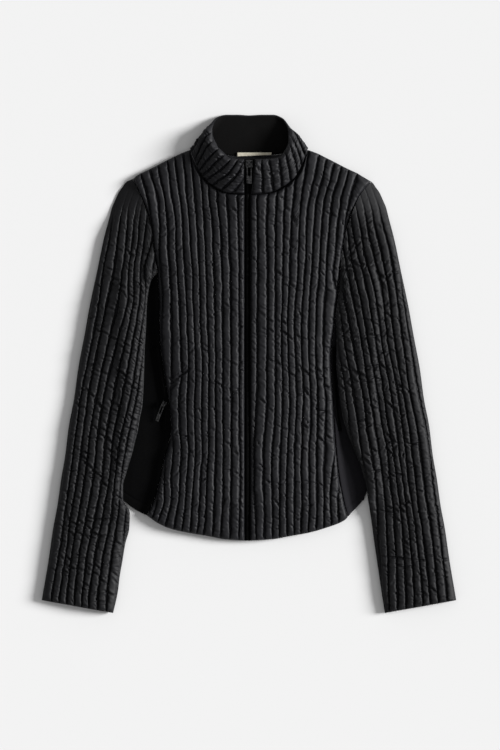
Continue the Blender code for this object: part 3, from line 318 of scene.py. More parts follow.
SLEEVE_HOLLOW = 0.5  # the least of it
SLEEVE_DOME, SLEEVE_FULL, SLEEVE_UNDER = 2.6, 5, 10  # powers of its roundness
SLEEVE_SLOPE, SLOPE_START = 3.4, 0.35  # how much lower it lies along its edge on the wearer's right
SLEEVE_SWAY, SLEEVE_STEADY = 0.7, 0.05
LIFT_BESIDE, LIFT_BELOW, LIFT_ABOVE = (8, 18), (10, 35), (4, 25)  # where it comes down off the panel
SIDE_LIFT = 1.45
SLEEVE_CAP, CAP_RELIEF = (244.0, 55.0), 0.08  # where its channels begin to rise, and what is left above
CAP_START, CAP_BLEND = 180.0, 55.0  # where its cap begins to slope down to its edge
CAP_DROP, CAP_RISE = 5.8, 4.5  # how far the cap's edge drops and its seam rises
CAP_SLOPE, CAP_POWER = 0.42, 0.85  # over what share of its width, and how round
UNDER_ACROSS = np.array([0.985, 0.96, 0.92, 0.85, 0.74, 0.6, 0.42, 0.22, 0.1, 0.04, 0.015])

# Collar and label
COLLAR = table("base_right base_left base_y base_z rim_right rim_left rim_y rim_z", """
    7 3.2 250.4 19.5 7 8.4 301 31
    32 29 252.5 18 20 24 301.5 31
    49 47 260.5 15.5 32 43 304 31
    62.5 61.5 270.5 13 41 53 314 30
    73.5 73 286.5 11.5 53.5 59 329 26.5
    80.5 80.5 301.5 10.4 55.5 58.5 346 20
    85.5 85 312 9 54 55 355 14
    82.5 82 317.5 3.8 47.5 48 363.5 7.5
    68 68 315 1.2 34 35.5 368 2.8
    45 45 310.5 1.2 17 19 368 2
    0 0 307.5 1.2 0 0 367 1.6
    """)
COLLAR_BULGE = 2.2
COLLAR_SHOWS = (0.15, 0.6)  # how far its face looks up where its channels begin, and grow
COLLAR_CUT = 2  # stitched lines that start at the zip's edge on the right
COLLAR_SLANT_REACH = 8.0  # channels round from the zip, over which the slant is lost
COLLAR_SQUEEZE = 0.04
COLLAR_HALF_WALL = 1.2
COLLAR_SWAY = 0.12
COLLAR_PITCH = 9.5
COLLAR_ROLL_START, COLLAR_IN = 0.1, 0.2
FACING_WALL = 1.2
FACING_FROM_ZIP = 2
FACING_ENDS = (0.04, 0.965)
FACING_DROP = (0.065, 4)  # how much lower it hangs at the back neck, in collar heights, and a power
FACING_DRAPE, FACING_WAVE = 0.3, (0.05, 0.5)
LABEL_SIZE = (51.0, 5.8, 0.8)
LABEL_PLACE = (7.9, 309.1, 5.2)
LABEL_TAPER = 0.4
LABEL_DRAPE, LABEL_WAVE = 0.12, (8, 9)

# What each unpadded piece was cut to: width and length, and its area, in metres.
Cut = namedtuple("Cut", "width length area")

# Creases seen on each piece, in picture pixels: most run down to the right, U up to the
# right, H across, S steeply down, and each star makes one deeper and longer.
CREASE_SLANTS = {"": -38, "U": 42, "H": 0, "S": -68}
CREASES = {
    "front_right": """
    U163,235* U172,229* U170,217 U177,222 U180,249* U173,275* H181,277 189,277 196,275 H202,277 U168,276
    210,276 218,284 H226,274 233,271 U233,243 235,250* H225,243 H217,245 234,211** 225,207 241,240 240,250
    H181,290 U182,308 175,302 189,300 U196,304 203,298 H210,298 226,305* H225,300 234,300 233,310 235,315
    U202,320 210,317* U203,323 216,315 U162,339 212,330 203,326 U191,351* 205,346 205,350* H197,344 H219,360
    227,361 233,363* 212,362 241,363 U185,372** U180,376** U176,380** U173,386** U192,371 199,372 219,384**
    226,389 225,400* 234,393 234,402 234,413* 235,420 U174,401 H183,413 191,417 203,416 U177,432* 192,433
    212,429 219,433 227,443 234,447 199,441 U180,431 U176,474* U184,471 191,434 191,451 U199,451 205,465
    213,453 212,503 219,480 219,465 228,444 H228,470 236,453* 236,473* 225,487
    """,
    "front_left": """
    287,209* 279,213 S294,220** 271,222 261,220 253,220 279,223 303,237 317,237 292,246* 287,240 263,254
    H253,258 H293,262 H302,265 H315,268* 322,274* H253,274 261,278 279,274** 272,282 285,285* 292,286*
    298,291 328,290* 335,281 336,255 330,252 263,296 262,314* 260,307 270,321* 284,323** 278,321 292,297
    291,307 298,309 263,329 271,331* 276,343* 284,333** 291,338** 284,345 298,337* 304,339 311,338 253,362
    253,350 H262,359 291,356 271,361* 278,364** 285,371 292,375** 298,365 306,372** 311,365 311,371 318,370*
    319,379* 325,369* 327,387** 285,390 298,394 S306,393** 315,401 262,401** 261,416 270,409 270,423
    H324,412* 285,419 298,419 305,426** 306,431 312,435 320,439** 328,437** 321,425 295,447 303,448*
    H322,412* 268,482* 260,471 277,503** 291,453 291,512 H308,482* 305,500 312,450 321,485* 334,497* 326,509
    271,410
    """,
    "sleeve_left": """
    U369,222** H364,239** U357,246** 370,232* 380,227* U351,254** H352,262** H349,267** 356,265** H349,272**
    H373,265* H365,276* 380,275* U385,263* U388,276** 342,279** 343,283** U377,254* 382,283* 396,290*
    U401,286* H345,222* 343,291** U339,291* U386,304* 388,316* U391,306* 400,299 358,308* 362,297 355,296*
    H373,310* 380,308 H350,312* 366,321 371,332 371,336* H377,336* 378,341* U385,334* 390,338* 355,330
    H355,338* U346,332** H347,341 353,341** 348,351** 337,338** 406,341* U399,350 392,351* U387,354*
    382,365** H375,366** H368,367** 361,374** U374,369* 354,372** 355,381* U348,380** 349,385** 342,387**
    344,367* H377,385* H398,386* 403,373* 394,384 394,394* H413,385 409,392** 402,392* 395,368 355,398*
    365,399* 374,402* 373,407* H383,412* 388,403** 392,407** 408,412 418,413 H361,420** 369,418 369,424*
    H379,426* S392,436** 392,440** 387,435* U399,427* 404,433 H428,436* H413,444** 407,443* 389,451**
    U395,447* 374,450* 367,455* 367,461** 369,464** H376,471** 368,471* 364,470** H385,465** 391,474**
    H397,474** 371,482* 409,463* H416,476* 411,484* 424,468 430,457* 432,470* 409,503* 405,495 427,493
    390,507* H389,511** 397,511* 402,510** 403,505* H422,513* 430,514* H438,515* 415,524* 399,521* 405,542**
    406,548* 406,552* H391,557** H400,558** H408,559* H420,560** H429,555* 438,561* H446,559** H406,567**
    423,580* 433,590** 407,584* 440,584 424,593* 383,565* 384,557*
    """,
    "sleeve_right": """
    119,250* 115,279** 122,286** 130,254** 152,224** H166,276* 133,297* U134,304* 102,308 111,308* 98,331*
    104,332** 113,338** 120,346** 125,343** 126,352* 96,325* H138,323* 139,341** H91,365* 96,370* 94,374*
    105,374* 119,371** 123,374** 125,381** 110,387* 132,387** 87,390* 91,393* 92,396* 100,405** 82,407*
    104,407* H101,413** 112,402** 114,410* 118,405* 111,422* 107,425** 104,430** 104,437** 96,428* H99,439**
    109,440** 118,432** 119,438** 110,451** 119,450** 117,462** 112,457* 131,454** H123,457* 77,449**
    84,457** 85,462** 90,467** 95,472** 101,476** 105,484** 110,482* H71,440* 66,492* 78,497* 117,473*
    126,472* U114,492* 120,498** 143,399* 77,404* 132,418** H130,429** 61,510* 62,504* H68,518* 74,523**
    104,506* 91,518* 92,508* H99,519** H105,519** H111,519* 81,522* 90,528** 88,537* 95,534** 80,534*
    73,534* H102,536* H109,536* 119,544** 62,540** 62,557* H82,558** 79,568* 72,567** 66,565* 99,567**
    90,564* 96,573* 102,580** 53,569* 87,585* 109,593** S120,558** 119,567* 115,574** 117,583** U110,563*
    """,
}

# Each material's darkest and lightest tone, in thousandths, its range of roughness, its
# gloss, the threads a metre of its weave, their relief, its grain, and how metallic it is.
MATERIALS = {
    "nylon": ((5.6, 5.6, 7.0), (8.1, 8.1, 10.2), (0.52, 0.64), 0.24, 2600, 0.05, 260, 0),
    # A darker copy of the same nylon for the sleeves: painted shade.
    "nylon_sleeve_painted_shade": ((4.5, 4.5, 5.3), (6.4, 6.4, 7.7), (0.54, 0.66), 0.21, 2600, 0.05, 260, 0),
    # The two side panels are one jersey in two copies: the darker one is painted shade on the wearer's
    # right panel, the lighter one painted light on the wearer's left panel.
    "jersey_against_nap": ((1.1, 1.1, 1.2), (1.9, 1.9, 2.1), (0.84, 0.94), 0.05, 1100, 0.18, 420, 0),
    "jersey_along_nap": ((6.2, 5.9, 7.4), (9.0, 8.6, 10.6), (0.78, 0.9), 0.12, 1100, 0.18, 420, 0),
    "jersey_knit": ((2.8, 2.7, 2.7), (4.2, 4.0, 4.0), (0.8, 0.92), 0.08, 1100, 0.18, 420, 0),
    "woven_tape": ((0.8, 0.8, 0.9), (1.4, 1.4, 1.6), (0.8, 0.92), 0.05, 1500, 0.15, 500, 0),
    "coil_nylon": ((0.6, 0.6, 0.7), (1.2, 1.2, 1.3), (0.6, 0.7), 0.06, 1500, 0.05, 500, 0),
    "label_weave": ((620, 570, 450), (740, 700, 580), (0.6, 0.75), 0.3, 1800, 0.1, 350, 0),
    # Its colour drifts widely at a fine grain: painted glints on the sliders and pulls.
    "metal_painted_glints": ((3, 3, 3.5), (130, 130, 133), (0.2, 0.34), 0.5, 4000, 0.01, 420, 1),
}
# One jersey in two tones: painted shade on the wearer's right panel, painted light on the wearer's left
# panel.
PANEL_JERSEY = pair("jersey_against_nap", "jersey_along_nap")
TONE_ENDS = (0.3, 0.7)
GRAIN_DETAIL, GRAIN_STRENGTH, GRAIN_RELIEF = 4.0, 0.3, 0.4
WEAVE_STRENGTH, WEAVE_UNEVEN = 0.35, 0.6


# ---- curves


def smooth_line(keys, values, at):
    """A smooth line through the rows that never overshoots them, read at any places."""
    keys, values = np.asarray(keys, float), np.asarray(values, float)
    if keys[0] > keys[-1]:
        keys, values = keys[::-1], values[::-1]
    steps = np.diff(keys)
    slopes = np.diff(values) / steps
    tangents = np.concatenate([slopes[:1], np.zeros(len(keys) - 2), slopes[-1:]])
    before, after = slopes[:-1], slopes[1:]
    bends = before * after > 0
    weight = (2 * steps[1:] + steps[:-1])[bends], (steps[1:] + 2 * steps[:-1])[bends]
    tangents[1:-1][bends] = sum(weight) / (weight[0] / before[bends] + weight[1] / after[bends])
    at = np.clip(at, keys[0], keys[-1])
    i = np.clip(np.searchsorted(keys, at) - 1, 0, len(steps) - 1)
    t = (at - keys[i]) / steps[i]
    rise = t * t * (3 - 2 * t)
    bow = (t * (1 - t) ** 2 * tangents[i] - t * t * (1 - t) * tangents[i + 1]) * steps[i]
    return values[i] * (1 - rise) + values[i + 1] * rise + bow


def read(rows, key, column, at):
    return smooth_line(rows[key], rows[column], at)


def seam_out(side, y):
    return read(SEAM[side], "y", "out", y)


def fold_out(side, y):
    return read(FOLD[side], "y", "out", y)


def hem_y(side, out):
    return read(HEM[side], "out", "y", out)


def ease(x):
    """0 below 0, 1 above 1 and smooth between."""
    x = np.clip(x, 0, 1)
    return x * x * (3 - 2 * x)


def falls(distance, start, length):
    """1 up to the start and 0 from a length beyond it."""
    return 1 - ease((distance - start) / length)


def bell(x):
    return np.exp(-(x**2))


def at_least(least, share):
    """A share from 0 to 1, made to start from least."""
    return least + (1 - least) * share


def pressed(distance, least, reach):
    """How full the channels are at a distance from an edge that presses them down."""
    return at_least(least, ease(distance / reach))


def rolled(distance, radius):
    """0 at an edge and 1 from a radius inside it, as round as a turned hem."""
    return np.sqrt(1 - (1 - np.clip(distance / radius, 0, 1)) ** 2)


def points(*parts):
    return np.stack(np.broadcast_arrays(*parts), axis=-1).astype(float)


def normals_of(grid):
    """Unit normals of a grid of points, rows by columns."""
    normal = np.cross(np.gradient(grid, axis=0), np.gradient(grid, axis=1))
    return normal / np.linalg.norm(normal, axis=-1, keepdims=True)


def ripple(seed, u, v, u_size, v_size):
    """Smooth random waves from -1 to 1 over two coordinates, given a wave's size in each."""
    u, v = (u - u.min()) / u_size, (v - v.min()) / v_size
    cells = np.random.default_rng(seed).uniform(-1, 1, (int(u.max()) + 3, int(v.max()) + 3))
    i, j = u.astype(int), v.astype(int)
    s, t = ease(u - i), ease(v - j)
    low = cells[i, j] * (1 - s) + cells[i + 1, j] * s
    high = cells[i, j + 1] * (1 - s) + cells[i + 1, j + 1] * s
    return low * (1 - t) + high * t


def waves(seed, u, v, kinds):
    """The sum of several kinds of ripples, each with a seed of its own."""
    return sum(
        strength * ripple(seed + step, u, v, u_size, v_size)
        for step, (strength, u_size, v_size) in enumerate(kinds)
    )


# ---- meshes


def frame_shift():
    """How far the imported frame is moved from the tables, in millimetres."""
    low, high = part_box("neck_label")
    middle = (low + high) / 2 / MM
    return np.array([middle.x - LABEL_PLACE[0], middle.y - LABEL_PLACE[1], 0.0])


def grid_quads(index):
    corners = index[:-1, :-1], index[:-1, 1:], index[1:, 1:], index[1:, :-1]
    return np.stack(corners, axis=-1).reshape(-1, 4).tolist()


def bridge(first, first_at, second, second_at):
    """Triangles between two lines of vertices that run side by side."""
    faces, i, j = [], 0, 0
    while i < len(first) - 1 or j < len(second) - 1:
        if j == len(second) - 1 or (i < len(first) - 1 and first_at[i + 1] <= second_at[j + 1]):
            faces.append((first[i], first[i + 1], second[j]))
            i += 1
        else:
            faces.append((first[i], second[j + 1], second[j]))
            j += 1
    return faces


def put_in_scene(name, vertices, faces, material):
    """A mesh object of points in millimetres, its faces turned outwards."""
    mesh = bpy.data.meshes.new(name)
    mesh.from_pydata(((np.asarray(vertices) + SHIFT) * MM).tolist(), [], faces)
    work = bmesh.new()
    work.from_mesh(mesh)
    bmesh.ops.recalc_face_normals(work, faces=work.faces)
    work.to_mesh(mesh)
    work.free()
    mesh.materials.append(material)
    mesh.shade_smooth()
    mesh.set_sharp_from_angle(angle=math.radians(SHARP))
    piece = bpy.data.objects.new(name, mesh)
    bpy.context.scene.collection.objects.link(piece)
    return piece


def shares(count):
    return np.linspace(0, 1, count)


def make_wall(name, outer, inner, material, outer_at=None, inner_at=None, closed=False):
    """A wall of cloth between an outer and an inner grid, closed along all its edges. The
    rows of a closed wall are rings."""
    vertices, sides = np.empty((0, 3)), []
    for grid, at in ((outer, outer_at), (inner, inner_at)):
        index = np.arange(grid[..., 0].size).reshape(grid.shape[:2]) + len(vertices)
        at = shares(grid.shape[1]) if at is None else at
        if closed:
            index, at = np.hstack([index, index[:, :1]]), np.append(at, at[0] + 1)
        vertices = np.concatenate([vertices, grid.reshape(-1, 3)])
        sides.append((index, at))
    (out, out_at), (inn, in_at) = sides
    faces = grid_quads(out) + grid_quads(inn)
    for end in (0, -1):
        faces += bridge(out[end], out_at, inn[end], in_at)
        if not closed:
            faces += bridge(out[:, end], shares(len(out)), inn[:, end], shares(len(inn)))
    return put_in_scene(name, vertices, faces, material)


# ---- materials


def shader_of(name):
    material = bpy.data.materials.new(name)
    material.use_nodes = True
    return material, material.node_tree.nodes["Principled BSDF"]


def feed(node, **inputs):
    """Give a node's inputs, named with _ for a space, their values or what feeds them."""
    for name, source in inputs.items():
        socket = node.inputs[name.replace("_", " ")]
        if isinstance(source, bpy.types.NodeSocket):
            node.id_data.links.new(source, socket)
        else:
            socket.default_value = source


def add_node(material, kind, output, **inputs):
    """One of the outputs of a new shader node."""
    node = material.node_tree.nodes.new(f"ShaderNode{kind}")
    feed(node, **inputs)
    return node.outputs[output]


def tones(material, noise, colours, ends):
    """A colour that drifts between two with a noise, which reaches them at two ends."""
    colour = add_node(material, "ValToRGB", "Color", Fac=noise)
    for element, end, levels in zip(colour.node.color_ramp.elements, ends, colours):
        element.position = end
        element.color = (*levels, 1)
    return colour


def woven(material, place, threads):
    """A weave of threads in two directions."""
    scale = threads / (2 * math.pi)
    weave = add_node(material, "Math", "Value")
    weave.node.operation = "MULTIPLY"
    for direction, factor in zip("XY", weave.node.inputs):
        wave = add_node(material, "TexWave", "Fac", Vector=place, Scale=scale, Distortion=WEAVE_UNEVEN)
        wave.node.bands_direction = direction
        material.node_tree.links.new(wave, factor)
    return weave


def relief(material, height, strength, depth, **under):
    """A bump of a depth in millimetres."""
    return add_node(
        material, "Bump", "Normal", Strength=strength, Distance=depth * MM, Height=height, **under
    )


def textured(name, low, high, roughness, gloss, threads, depth, grain, metallic):
    """A cloth or metal whose colour and roughness drift a little between two tones, with
    a fine weave and a soft grain in the bump. The metal's colour drifts widely instead, as painted glints."""
    material, shader = shader_of(name)
    place = add_node(material, "TexCoord", "Object")
    drift = add_node(material, "TexNoise", "Fac", Vector=place, Scale=grain, Detail=GRAIN_DETAIL)
    colour = tones(material, drift, np.array([low, high]) / 1000, TONE_ENDS)
    least, most = roughness
    rough = add_node(material, "MapRange", "Result", Value=drift, To_Min=least, To_Max=most)
    soft = relief(material, drift, GRAIN_STRENGTH, GRAIN_RELIEF)
    bump = relief(material, woven(material, place, threads), WEAVE_STRENGTH, depth, Normal=soft)
    feed(shader, Base_Color=colour, Roughness=rough, Normal=bump)
    feed(shader, Specular_IOR_Level=gloss, Metallic=metallic)
    return material


# ---- quilting


def fine_places(channels):
    """Where the columns of a quilted wall stand, in channels."""
    places = [channel + share for channel in range(channels) for share in ACROSS_CHANNEL]
    return np.array([*places, float(channels)])


def fine_rows(length):
    """Shares down a wall of a length in millimetres, closer together at its two ends."""
    rows = shares(round(length / ROW_PITCH))
    near = np.array(FIRST_ROWS) * rows[1]
    return np.concatenate([rows[:1], near, rows[1:-1], 1 - near[::-1], rows[-1:]])


def from_ends(y):
    """Distance of each row of a piece from the nearer of its two ends."""
    return np.minimum(y[:1] - y, y - y[-1:])


def between_lines(lines, place):
    """Distance and channel width at each place, counted in channels, from the stitched
    lines' distances, whose first axis counts the lines."""
    channel = np.clip(np.floor(place).astype(int), 0, len(lines) - 2)
    low = np.take_along_axis(lines, channel[None, ...], axis=0)[0]
    high = np.take_along_axis(lines, channel[None, ...] + 1, axis=0)[0]
    return low + (place - channel) * (high - low), high - low


def stitched_lines(stitches, start, end, y):
    """Distances from x = 0 of a start, the stitched lines of a table and an end, at the
    heights y. Lines that run into the start or the end are squeezed together there."""
    names = [name for name in stitches if name != "y"]
    step = SQUEEZE * np.sign(end - start)
    lines = [start]
    for number, name in enumerate(names, 1):
        first, last = start + step * number, end - step * (len(names) + 1 - number)
        line = read(stitches, "y", name, y)
        lines.append(np.clip(line, np.minimum(first, last), np.maximum(first, last)))
    return np.array([*lines, end])


def puffed(seed, place, along, width):
    """Height of the channels over their stitched lines: flat tubes with steep sides, fuller
    and slacker by turns, that lean and pucker along the stitches."""
    channel = np.minimum(np.floor(place), place.max() - 1)
    t = place - channel
    t = np.clip(t + waves(seed + 2, channel, along, LEAN) * 4 * t * (1 - t), 0, 1)
    from_stitches = np.minimum(t, 1 - t)
    wander = VALLEY_WANDER * ripple(seed + 6, np.floor(2 * place), along, 1, STITCH)
    wall = ease((from_stitches + wander * ease(from_stitches / VALLEY_FLOOR)) / VALLEY_SIDE)
    tube = WALL_SHARE * wall + (1 - WALL_SHARE) * (1 - np.abs(2 * t - 1) ** TOP_POWER)
    crown = (CREST - STITCHED) * np.clip(width / CHANNEL_PITCH, 0, WIDEST)
    return crown * tube * (1 + waves(seed + 4, channel, along, FULLNESS))


def crease(plan, height, row, column, angle, length, depth, breadth):
    """Press one soft trough with two low lips into a height grid, in place."""
    reach = int(CREASE_REACH * max(length, CREASE_LEAST * breadth) / ROW_PITCH)
    rows = slice(max(row - reach, 0), row + reach)
    columns = slice(max(column - reach, 0), column + reach)
    away = plan[rows, columns] - plan[row, column]
    along = away[..., 0] * math.cos(angle) + away[..., 1] * math.sin(angle)
    across = away[..., 1] * math.cos(angle) - away[..., 0] * math.sin(angle)
    bow = (across - CREASE_BOW * along**2 / length) / breadth
    form = sum(lip * bell(bow - place) for lip, place in LIPS) - bell(bow)
    height[rows, columns] += depth * form * bell(2 * along / length)


def seen_creases(seed, plan, height, marks):
    """Press the creases that are marked on a piece, as uneven as cloth makes them."""
    random = np.random.default_rng(seed)
    for kind, x, y, stars in re.findall(r"([UHS]?)(\d+),(\d+)(\**)", marks):
        place = (np.array([float(x), float(y)]) - PHOTO_CENTRE) * (PIXEL / MM, -PIXEL / MM)
        off = np.hypot(*np.moveaxis(plan[..., :2] - place, -1, 0))
        row, column = np.unravel_index(off.argmin(), off.shape)
        length, depth = (
            (least + more * len(stars)) * random.uniform(*uneven)
            for least, more, uneven in (SEEN_LENGTH, SEEN_DEPTH)
        )
        angle = math.radians(CREASE_SLANTS[kind] + random.uniform(*SEEN_STRAY))
        crease(plan, height, row, column, angle, length, depth, random.uniform(*SEEN_BREADTH))


def scatter_creases(seed, plan, height, count, slants, size):
    """Press many small creases at random places, most of them at one slant."""
    random = np.random.default_rng(seed)
    rows, columns = height.shape
    for _ in range(count):
        row, column = random.integers(0, rows), random.integers(0, columns)
        angle = math.radians(random.normal(*slants) * random.choice(SMALL_TURNS))
        length, depth = random.uniform(*SMALL_LENGTH) * size, random.gamma(*SMALL_DEPTH) * size
        crease(plan, height, row, column, angle, length, depth, random.uniform(*SMALL_BREADTH))


# ---- fronts and back


def top_line(neck, out):
    """Height of a top edge of the body: along a neck seam, then the shoulder seam."""
    neck, shoulder = (read(line, "out", "y", out) for line in (neck, SHOULDER))
    return np.where(out < NECK_POINT[0], neck, shoulder) - SEAM_GAP / 2


def front_lines(side, y):
    """How far a front's zip edge, stitched lines and princess seam are from x = 0."""
    seam = seam_out(side, y) - SEAM_GAP / 2
    return stitched_lines(FRONT_STITCHES[side], np.full_like(seam, ZIP_EDGE[side]), seam, y)


def row_height(down, top, bottom):
    """Height of a row of the body: level at mid-body, along the edges at its ends."""
    level = BODY_TOP + (BODY_BOTTOM - BODY_TOP) * down
    upper, lower = BODY_ENDS
    return level + (top - BODY_TOP) * (1 - down) ** upper + (bottom - BODY_BOTTOM) * down**lower


def front_plan(side, place, down):
    """Plan position of points on a front: place in channels from the zip, down from 0
    at the neck and shoulder to 1 at the hem. Also gives the channel's width there."""
    top, bottom = np.full_like(place, BODY_TOP), np.full_like(place, BODY_BOTTOM)
    for _ in range(SETTLE):
        top = top_line(NECK, between_lines(front_lines(side, top), place)[0])
        bottom = hem_y(side, between_lines(front_lines(side, bottom), place)[0])
    y = row_height(down, top, bottom)
    out, width = between_lines(front_lines(side, y), place)
    return out, y, width


def body_loft(side, out, y):
    """How far a front is puffed up over mid-body, from its seam to the zip."""
    share = np.clip(out / seam_out(side, y), 0, 1)
    (hem, above_hem), (neck, to_neck) = LOFT_HEM, LOFT_NECK
    along = ease((y - hem) / above_hem) * (1 - ease((y - neck) / to_neck))
    return LOFT * (1 - share**LOFT_POWER) * along


def front_inside(side, out, y):
    """Height of the fronts' plain inside above the floor."""
    slope = (NECK_POINT[1] - SHOULDER["y"][-1]) / (SHOULDER["out"][-1] - NECK_POINT[0])
    from_shoulder = (NECK_POINT[1] - slope * (out - NECK_POINT[0]) - y) / math.hypot(1, slope)
    across, along = NECK_LIFT_REACH
    lift = NECK_LIFT * bell(np.hypot(out / across, (y - NECK_LIFT_Y) / along))
    opened = ease(from_shoulder / SHOULDER_ROUNDING)
    return BACK_WALL + SEAM_GAP + opened * (LAYER_GAP - SEAM_GAP + lift + body_loft(side, out, y))


def front_face(side):
    """The quilted face of a front, and where its columns stand in channels."""
    places = fine_places(FRONT_CHANNELS)
    place, down = np.meshgrid(places, fine_rows(FRONT_LENGTH))
    out, y, width = front_plan(side, place, down)
    seed = FRONT_SEED[side]
    steady = ease(place / STEADY_AT_ZIP) * ease((FRONT_CHANNELS - place) / STEADY_AT_SEAM)
    out = out + waves(seed, place, y, SWAY) * steady
    plan = points(SIGN[side] * out, y)
    height = puffed(seed, place, y, width)
    scatter_creases(seed + 7, plan, height, *SMALL_CREASES["front"])
    seen_creases(seed + 8, plan, height, CREASES[f"front_{side}"])
    edge, from_seam = from_ends(y), seam_out(side, y) - SEAM_GAP / 2 - out
    height = np.maximum(height * pressed(edge, *FRONT_PRESS), 0.0)
    height = STITCHED + height * np.clip(width / NARROW, 0, 1)
    roll = rolled(edge, EDGE_ROLL) * rolled(from_seam, SEAM_ROLL)
    roll *= rolled(out - ZIP_EDGE[side] + ZIP_ROLL_START, EDGE_ROLL)
    height *= at_least(FRONT_TURNED, roll)
    return points(plan[..., 0], y, front_inside(side, out, y) + height), places


def dress_front(side, cloth):
    outer, places = front_face(side)
    place, down = np.meshgrid(np.arange(FRONT_CHANNELS + 1.0), shares(INNER_ROWS))
    out, y, _ = front_plan(side, place, down)
    inner = points(SIGN[side] * out, y, front_inside(side, out, y))
    return make_wall(f"quilt_front_{side}", outer, inner, cloth, places, place[0])


def back_across(share, y):
    """Position across the back: share from -1 at the right seam to 1 at the left."""
    right, left = (seam_out(side, y) - SEAM_GAP / 2 for side in SIGN)
    return share * np.where(share < 0, right, left)


def back_plan(share, down):
    """Plan position on the back, down from 0 at the neck and shoulders to 1 at the hem."""
    top, bottom = np.full_like(share, BODY_TOP), np.full_like(share, BODY_BOTTOM)
    for _ in range(SETTLE):
        top = top_line(BACK_NECK, np.abs(back_across(share, top)))
        x = back_across(share, bottom)
        bottom = np.where(x < 0, *(hem_y(side, np.abs(x)) for side in SIGN)) + BACK_HEM_RISE
    y = row_height(down, top, bottom)
    return back_across(share, y), y


def dress_back(cloth):
    """The back lies on its channels, which its weight presses flat."""
    channels = 2 * FRONT_CHANNELS
    places = fine_places(channels)
    place, down = np.meshgrid(places, fine_rows(BACK_LENGTH)[::BACK_ROW_STEP])
    down[-1] = 1.0
    x, y = back_plan(2 * place / channels - 1, down)
    crown = puffed(BACK_SEED, place, y, np.full(y.shape, CHANNEL_PITCH))
    groove = BACK_GROOVE * (1 - np.minimum(1, crown / BACK_CROWN))
    from_sides = np.minimum(place, channels - place) * CHANNEL_PITCH
    roll = rolled(from_ends(y), BACK_ROLL) * rolled(from_sides, BACK_ROLL)
    outer = points(x, y, groove + BACK_EDGE_RISE * (1 - roll))
    few = shares(BACK_INNER_COLUMNS)
    x, y = back_plan(*np.meshgrid(few * 2 - 1, shares(INNER_ROWS)))
    return make_wall("quilt_back", outer, points(x, y, BACK_WALL), cloth, places / channels, few)


# ---- side panels


def panel_top(side, out, y):
    """Height of a side panel's upper layer above the floor."""
    from_seam = out - seam_out(side, y)
    return PANEL_FLAT + (PANEL_SEAM - PANEL_FLAT) * (1 - ease(from_seam / PANEL_RISE_WIDTH[side]))


def panel_plan(side, share, down):
    """Plan position on a side panel: share from the seam to the fold, down from 0 at the
    underarm to 1 at the hem."""
    seam_y, middle = SEAM[side]["y"][-1], np.zeros(share.shape)
    for _ in range(PANEL_SETTLE):
        seam = seam_out(side, middle) + SEAM_GAP
        out = seam + share * (fold_out(side, middle) - seam)
        top = read(PANEL_TOP, "share", "y", share)
        bottom = np.where(share == 0, seam_y, hem_y(side, out))
        middle = top + down * (bottom - top)
    return out, middle


def panel_grid(side, depth):
    """Points on a side panel, depth under its outer face: the upper layer from the seam
    to the fold, round the fold, and the lower layer back to the seam."""
    columns, rows = PANEL_GRID
    share, down = np.meshgrid(shares(columns) * PANEL_REACH, shares(rows))
    out, y = panel_plan(side, share, down)
    at_seam, at_fold = PANEL_STEADY
    steady = ease(share / at_seam) * ease((PANEL_REACH - share) / at_fold)
    drape = PANEL_DRAPE * ripple(PANEL_SEED[side], out, y, *PANEL_WAVE) * steady
    stitched = HEM_STITCH_DEPTH * bell((y - y[-1:] - HEM_STITCH_UP) / HEM_STITCH_BREADTH)
    upper = points(SIGN[side] * out, y, panel_top(side, out, y) + drape - stitched - depth)
    lower = points(SIGN[side] * out, y, depth)[:, ::-1]
    radius = PANEL_FLAT / 2
    bends = []
    for angle in np.radians(FOLD_ANGLES):
        bend = lower[:, 0].copy()
        bend[:, 0] += SIGN[side] * (radius - depth) * math.cos(angle)
        bend[:, 2] = radius + (radius - depth) * math.sin(angle)
        bends.append(bend)
    return np.concatenate([upper, np.stack(bends, axis=1), lower], axis=1)


def dress_side_panel(side, cloth):
    return make_wall(f"jersey_panel_{side}", panel_grid(side, 0.0), panel_grid(side, JERSEY), cloth)


def pocket_grid(side, raised):
    """A strip along a pocket, raised off the side panel."""
    columns, rows = POCKET_GRID
    y = np.linspace(*POCKET_ENDS, rows)[:, None]
    across = np.linspace(-POCKET_ZIP_WIDTH / 2, POCKET_ZIP_WIDTH / 2, columns)[None, :]
    out = seam_out(side, y) + SEAM_GAP + read(POCKET_LINE[side], "y", "away", y) + across
    y = np.broadcast_to(y, out.shape)
    strip = points(SIGN[side] * out, y, panel_top(side, out, y))
    return strip + SIGN[side] * normals_of(strip) * raised


def dress_pocket_zip(side, tape):
    upper = pocket_grid(side, SEAM_GAP + POCKET_ZIP_THICK)
    return make_wall(f"pocket_tape_{side}", upper, pocket_grid(side, SEAM_GAP), tape)


# ---- sleeves


def sleeve_lift(side, out, y):
    """How far a sleeve is raised where it lies over the side panel's fold."""
    beyond_fold = falls(out - fold_out(side, y), *LIFT_BESIDE)
    below_hem = falls(hem_y(side, out) - y, *LIFT_BELOW)
    above_panel = falls(y - PANEL_TOP["y"][0], *LIFT_ABOVE)
    return (PANEL_FLAT + 2 * SEAM_GAP) * beyond_fold * below_hem * above_panel


def sleeve_inner(side, y):
    """Distance of a sleeve's inner edge from x = 0, carried on inwards above the underarm."""
    return read(SLEEVE_INNER[side], "y", "out", y) - ABOVE_UNDERARM * np.maximum(y - UNDERARM_Y, 0)


def sleeve_outer(y):
    return read(SLEEVE_OUTER, "y", "out", y)


def sleeve_lines(side, y):
    """How far a sleeve's outer edge, stitched lines and inner edge are from x = 0."""
    return stitched_lines(SLEEVE_STITCHES[side], sleeve_outer(y), sleeve_inner(side, y), y)


